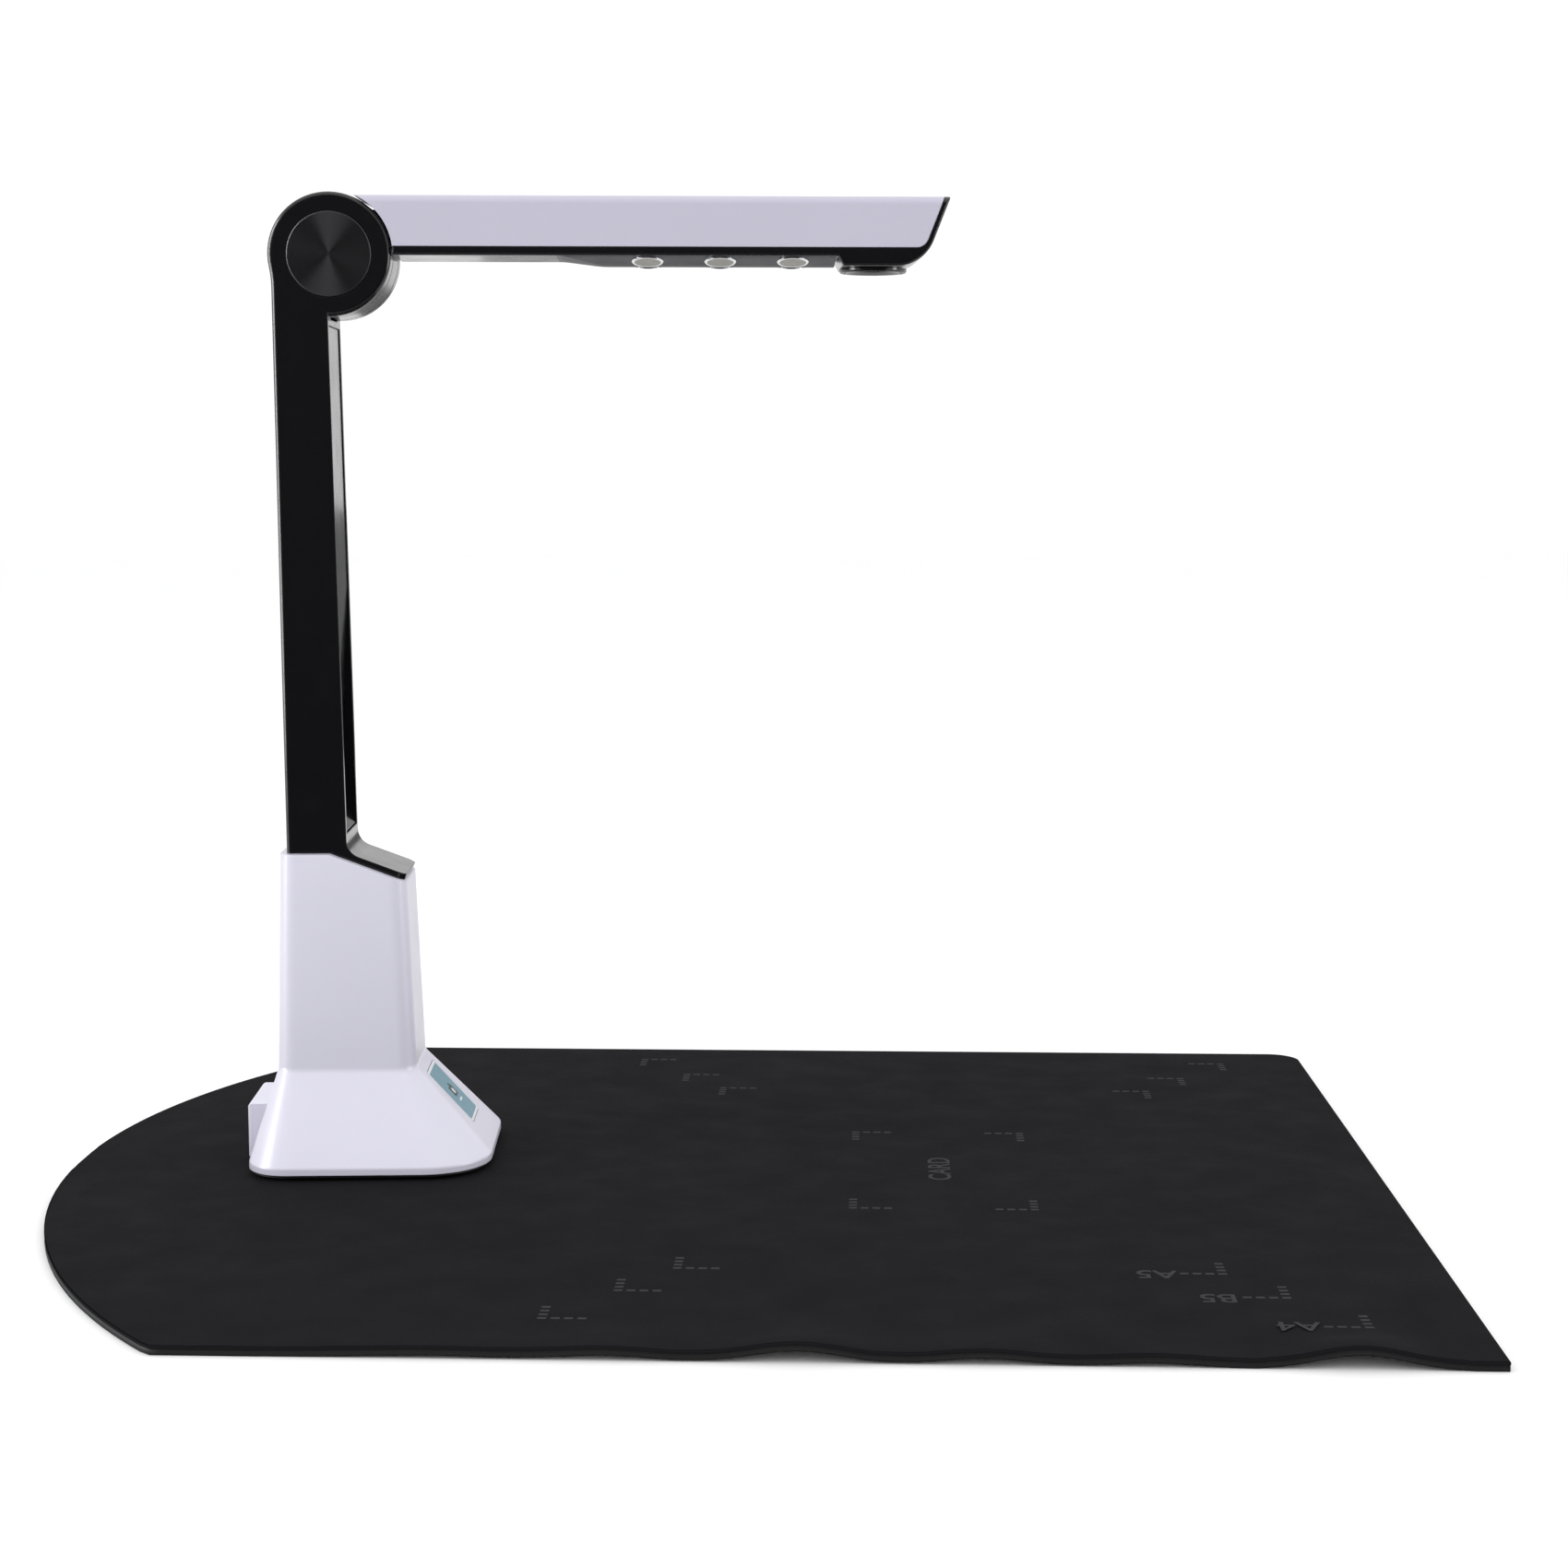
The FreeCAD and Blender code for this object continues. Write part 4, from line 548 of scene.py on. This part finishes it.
def mat_grid():
    """Columns of points from the near edge to the far edge, closer together at both edges."""
    grid = []
    for x in mat_columns():
        near = mat_near_edge(x)
        far = mat_far_edge(x)
        grid.append([(x, near + (far - near) * (0.5 - 0.5 * math.cos(math.pi * k / MAT_ROWS)))
                     for k in range(MAT_ROWS + 1)])
    return grid


def grid_border(last):
    """Cells round the grid, as (column, row), from the near edge's rear end."""
    border = [(i, 0) for i in range(last + 1)]
    border += [(last, k) for k in range(1, MAT_ROWS + 1)]
    border += [(i, MAT_ROWS) for i in range(last - 1, -1, -1)]
    border += [(0, k) for k in range(MAT_ROWS - 1, 0, -1)]
    return border


def inward_directions(outline):
    """Unit vectors into the sheet, square to the outline at each of its points."""
    directions = []
    for index in range(len(outline)):
        before = Vector(outline[index - 1])
        after = Vector(outline[(index + 1) % len(outline)])
        along = (after - before).normalized()
        directions.append(Vector((-along.y, along.x)))
    return directions


def positioning_mat():
    """One closed sheet: a soft top layer over a rubber back, with a groove between them."""
    grid = mat_grid()
    last = len(grid) - 1
    border = grid_border(last)
    outline = [grid[i][k] for i, k in border]
    inward = inward_directions(outline)
    count = len(outline)
    to_part = mat_frame()
    vertices = []

    def point(x, y, depth):
        return to_part @ mm(x, y, mat_lift(x, y) - depth)

    def add(x, y, depth):
        vertices.append(point(x, y, depth))
        return len(vertices) - 1

    top = {}
    bottom = {}
    for i in range(last + 1):
        for k in range(MAT_ROWS + 1):
            x, y = grid[i][k]
            top[i, k] = add(x, y, 0.0)
            bottom[i, k] = add(x, y, MAT_THICKNESS)
    for index, cell in enumerate(border):
        x, y = Vector(outline[index]) + inward[index] * MAT_FACE_INSET
        vertices[top[cell]] = point(x, y, 0.0)
        vertices[bottom[cell]] = point(x, y, MAT_THICKNESS)

    top_faces = []
    back_faces = []
    for i in range(last):
        for k in range(MAT_ROWS):
            top_faces.append((top[i, k], top[i + 1, k], top[i + 1, k + 1], top[i, k + 1]))
            back_faces.append((bottom[i, k + 1], bottom[i + 1, k + 1],
                               bottom[i + 1, k], bottom[i, k]))
    loops = [[top[cell] for cell in border]]
    for inset, depth in MAT_EDGE_PROFILE:
        loop = []
        for index in range(count):
            x, y = Vector(outline[index]) + inward[index] * inset
            loop.append(add(x, y, depth))
        loops.append(loop)
    loops.append([bottom[cell] for cell in border])
    for step in range(len(loops) - 1):
        upper = loops[step]
        lower = loops[step + 1]
        target = top_faces if step < MAT_TOP_LAYER_STEPS else back_faces
        for index in range(count):
            after = (index + 1) % count
            target.append((upper[index], lower[index], lower[after], upper[after]))

    sheet = new_piece("mat_sheet", vertices, top_faces + back_faces, fabric, "stand")
    sheet.data.materials.append(mat_back)
    for polygon in sheet.data.polygons[len(top_faces):]:
        polygon.material_index = 1
    return sheet


def print_piece(name, outlines):
    """Printed shapes, each an outline in the mat's frame, laid on the mat's top face."""
    levels = (PRINT_LIFT, PRINT_LIFT - PRINT_THICKNESS)
    return flat_shapes(name, outlines, levels, mat_frame(), ink, mat_lift)


def rectangle(x0, x1, y0, y1):
    """Corners in order round a rectangle between two opposite corners."""
    left, right = sorted((x0, x1))
    near, far = sorted((y0, y1))
    return [(left, near), (right, near), (right, far), (left, far)]


def corner_dashes(half_x, half_y, side_x, side_y):
    """Dashes of one corner mark, running inward from the corner along both edges."""
    corner_x = side_x * half_x
    corner_y = side_y * half_y
    dashes = []
    for index in range(DASH_COUNT):
        start = index * DASH_PITCH_X
        x0 = corner_x - side_x * start
        x1 = corner_x - side_x * (start + DASH_LENGTH)
        dashes.append(rectangle(x0, x1, corner_y, corner_y - side_y * DASH_WIDTH))
    for index in range(1, DASH_COUNT):
        start = index * DASH_PITCH_Y
        y0 = corner_y - side_y * start
        y1 = corner_y - side_y * (start + DASH_WIDTH)
        dashes.append(rectangle(corner_x, corner_x - side_x * DASH_LENGTH, y0, y1))
    return dashes


def letter_piece(text, x, y, turn):
    """Plain letters lying on the mat, centred on a point in the mat's frame."""
    curve = bpy.data.curves.new("print_" + text, "FONT")
    curve.body = text
    curve.align_x = "CENTER"
    curve.align_y = "CENTER"
    curve.size = LETTER_SIZE * MM
    curve.extrude = 0.5 * PRINT_THICKNESS * MM
    curve.offset = LETTER_WEIGHT * MM
    curve.materials.append(ink)
    letters = bpy.data.objects.new("print_" + text, curve)
    bpy.context.scene.collection.objects.link(letters)
    reach = 0.5 * LETTER_SIZE
    height = PRINT_LIFT + max(mat_lift(x + side_x * reach, y + side_y * reach)
                              for side_x in (-1, 0, 1) for side_y in (-1, 0, 1))
    letters.matrix_world = (mat_frame() @ Matrix.Translation(mm(x, y, height))
                            @ Matrix.Rotation(math.radians(turn), 4, "Z"))
    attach(letters, "stand")
    return letters


def printed_marks():
    """The corner marks of each paper size, with its name beside them."""
    pieces = []
    mark_length = DASH_COUNT * DASH_PITCH_X
    for name, half_x, half_y in PAPER_MARKS:
        dashes = []
        for side_x in (-1, 1):
            for side_y in (-1, 1):
                dashes += corner_dashes(half_x, half_y, side_x, side_y)
        pieces.append(print_piece("marks_" + name, dashes))
        if name == "CARD":
            pieces.append(letter_piece(name, 0.0, 0.0, 90.0))
        else:
            letters_x = half_x - mark_length - LETTER_GAP * LETTER_SIZE
            pieces.append(letter_piece(name, letters_x, -half_y, 180.0))
    return pieces


mat = positioning_mat()
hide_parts("positioning_mat")
marks = printed_marks()
mat_area()


# ---- Touch plate ------------------------------------------------------------------------

def slope_frame():
    """From a frame on the touch plate, X down the slope and Z out of it, to the part's frame."""
    run = SLOPE_FOOT[0] - SLOPE_HEAD[0]
    rise = SLOPE_HEAD[1] - SLOPE_FOOT[1]
    middle = mm((SLOPE_FOOT[0] + SLOPE_HEAD[0]) / 2, 0.0, (SLOPE_FOOT[1] + SLOPE_HEAD[1]) / 2)
    turn = Matrix.Rotation(math.atan2(rise, run), 4, "Y")
    return Matrix.Translation(middle) @ turn @ Matrix.Translation(mm(-LABEL_RAISE, 0.0, 0.0))


def rounded_outline(x, y, half_x, half_y, corner):
    """Points round a rectangle with round corners."""
    points = []
    for quarter, (side_x, side_y) in enumerate(((1, 1), (-1, 1), (-1, -1), (1, -1))):
        for k in range(OUTLINE_CORNER_STEPS + 1):
            angle = 0.5 * math.pi * (quarter + k / OUTLINE_CORNER_STEPS)
            points.append((x + side_x * (half_x - corner) + corner * math.cos(angle),
                           y + side_y * (half_y - corner) + corner * math.sin(angle)))
    return points


def film_layer(name, shapes, low, high, material):
    """Rounded shapes on the touch plate, between two heights above its face."""
    outlines = [rounded_outline(*shape) for shape in shapes]
    return flat_shapes(name, outlines, (high, low), slope_frame(), material)


def touch_film():
    """Tinted film with a plain camera symbol over a bar."""
    half_x = LABEL_LENGTH / 2 - LABEL_BORDER
    half_y = LABEL_WIDTH / 2 - LABEL_BORDER
    film = (0.0, 0.0, half_x, half_y, FILM_CORNER)
    symbol_top = FILM_THICKNESS + SYMBOL_THICKNESS
    lens_top = symbol_top + SYMBOL_THICKNESS
    film_layer("touch_film", [film], FILM_FOOT, FILM_THICKNESS, label_teal)
    film_layer("touch_symbol", [SYMBOL_BODY, SYMBOL_FINDER], FILM_THICKNESS, symbol_top, label_dark)
    film_layer("touch_symbol_light", [SYMBOL_LENS], symbol_top, lens_top, label_white)
    film_layer("touch_bar", [SYMBOL_BAR], FILM_THICKNESS, symbol_top, label_white)


touch_film()


# ---- Studio -----------------------------------------------------------------------------

FLAT = (0.0, 0.0, 0.0)
UPRIGHT = (math.radians(90), 0.0, 0.0)
FLOOR_SIZE = 12.0
WORLD_STRENGTH = 1.05
LIGHTS_AIM = (0.05, 0.0, 0.12)

# Cards that show only as reflections in the gloss: name, length, width, place, material, turn.
# The grey one is behind the stand, so that the lower arm's front face doesn't reflect the backdrop.
CARDS = (
    ("dark_flag", 3.4, 1.6, (0.1, -1.6, 0.78), black_matte, UPRIGHT),
    ("dark_apron", 3.4, 1.3, (0.1, -0.95, 0.003), black_matte, FLAT),
    ("grey_backdrop", 0.5, 0.34, (0.2, 1.2, 0.02), grey_card, UPRIGHT),
)

# Softboxes: name, watts, width and height, place, and the kind of ray that doesn't see it. The
# glints light nothing. They only show as the bright lines along the gloss edges.
SOFTBOXES = (
    ("overhead", 4.0, (1.6, 1.6), (0.1, 0.1, 1.7), None),
    ("left_side", 3.0, (0.5, 1.2), (-1.3, -0.5, 0.6), None),
    ("front_fill", 1.5, (1.5, 1.0), (0.1, -1.5, 0.5), "visible_glossy"),
    ("left_glint", 20.0, (0.4, 1.2), (-1.1, -0.25, 0.35), "visible_diffuse"),
    ("right_glint", 7.0, (0.25, 1.0), (1.2, -0.25, 0.4), "visible_diffuse"),
)


def plane(name, size_x, size_y, place, material, turn):
    half_x = size_x / 2
    half_y = size_y / 2
    corners = [(-half_x, -half_y, 0), (half_x, -half_y, 0),
               (half_x, half_y, 0), (-half_x, half_y, 0)]
    mesh = bpy.data.meshes.new(name)
    mesh.from_pydata(corners, [], [(0, 1, 2, 3)])
    mesh.materials.append(material)
    piece = bpy.data.objects.new(name, mesh)
    piece.location = place
    piece.rotation_euler = turn
    bpy.context.scene.collection.objects.link(piece)
    return piece


def softbox(name, power, size, place):
    light = bpy.data.lights.new(name, "AREA")
    light.shape = "RECTANGLE"
    light.size = size[0]
    light.size_y = size[1]
    light.energy = power
    lamp = bpy.data.objects.new(name, light)
    lamp.location = place
    aim = Vector(LIGHTS_AIM) - Vector(place)
    lamp.rotation_euler = aim.to_track_quat("-Z", "Y").to_euler()
    bpy.context.scene.collection.objects.link(lamp)
    return lamp


def studio():
    """White floor and surround, dark and grey cards, and five softboxes."""
    plane("floor", FLOOR_SIZE, FLOOR_SIZE, (0.0, 0.0, 0.0), studio_floor(), FLAT)
    world = bpy.data.worlds.new("studio_world")
    world.use_nodes = True
    background = world.node_tree.nodes["Background"]
    background.inputs["Color"].default_value = (1.0, 1.0, 1.0, 1.0)
    background.inputs["Strength"].default_value = WORLD_STRENGTH
    bpy.context.scene.world = world
    for card in CARDS:
        piece = plane(*card)
        piece.visible_camera = False
        piece.visible_diffuse = False
        piece.visible_transmission = False
        piece.visible_shadow = False
    for name, power, size, place, unseen_by in SOFTBOXES:
        lamp = softbox(name, power, size, place)
        if unseen_by is not None:
            setattr(lamp, unseen_by, False)


def camera():
    """The photographer's camera, placed in the mat's own frame."""
    data = bpy.data.cameras.new("camera")
    data.lens = LENS_LENGTH
    data.sensor_width = SENSOR_WIDTH
    data.clip_start = 0.01
    data.clip_end = 50.0
    view = bpy.data.objects.new("camera", data)
    yaw = Matrix.Rotation(math.radians(VIEW_YAW), 4, "Z")
    pitch = Matrix.Rotation(math.radians(VIEW_PITCH), 4, "X")
    turn = yaw @ pitch
    view.matrix_world = mat_frame() @ Matrix.Translation(mm(*VIEW_POINT)) @ turn
    bpy.context.scene.collection.objects.link(view)
    bpy.context.scene.camera = view


studio()
camera()
bpy.context.scene.view_settings.view_transform = "Standard"
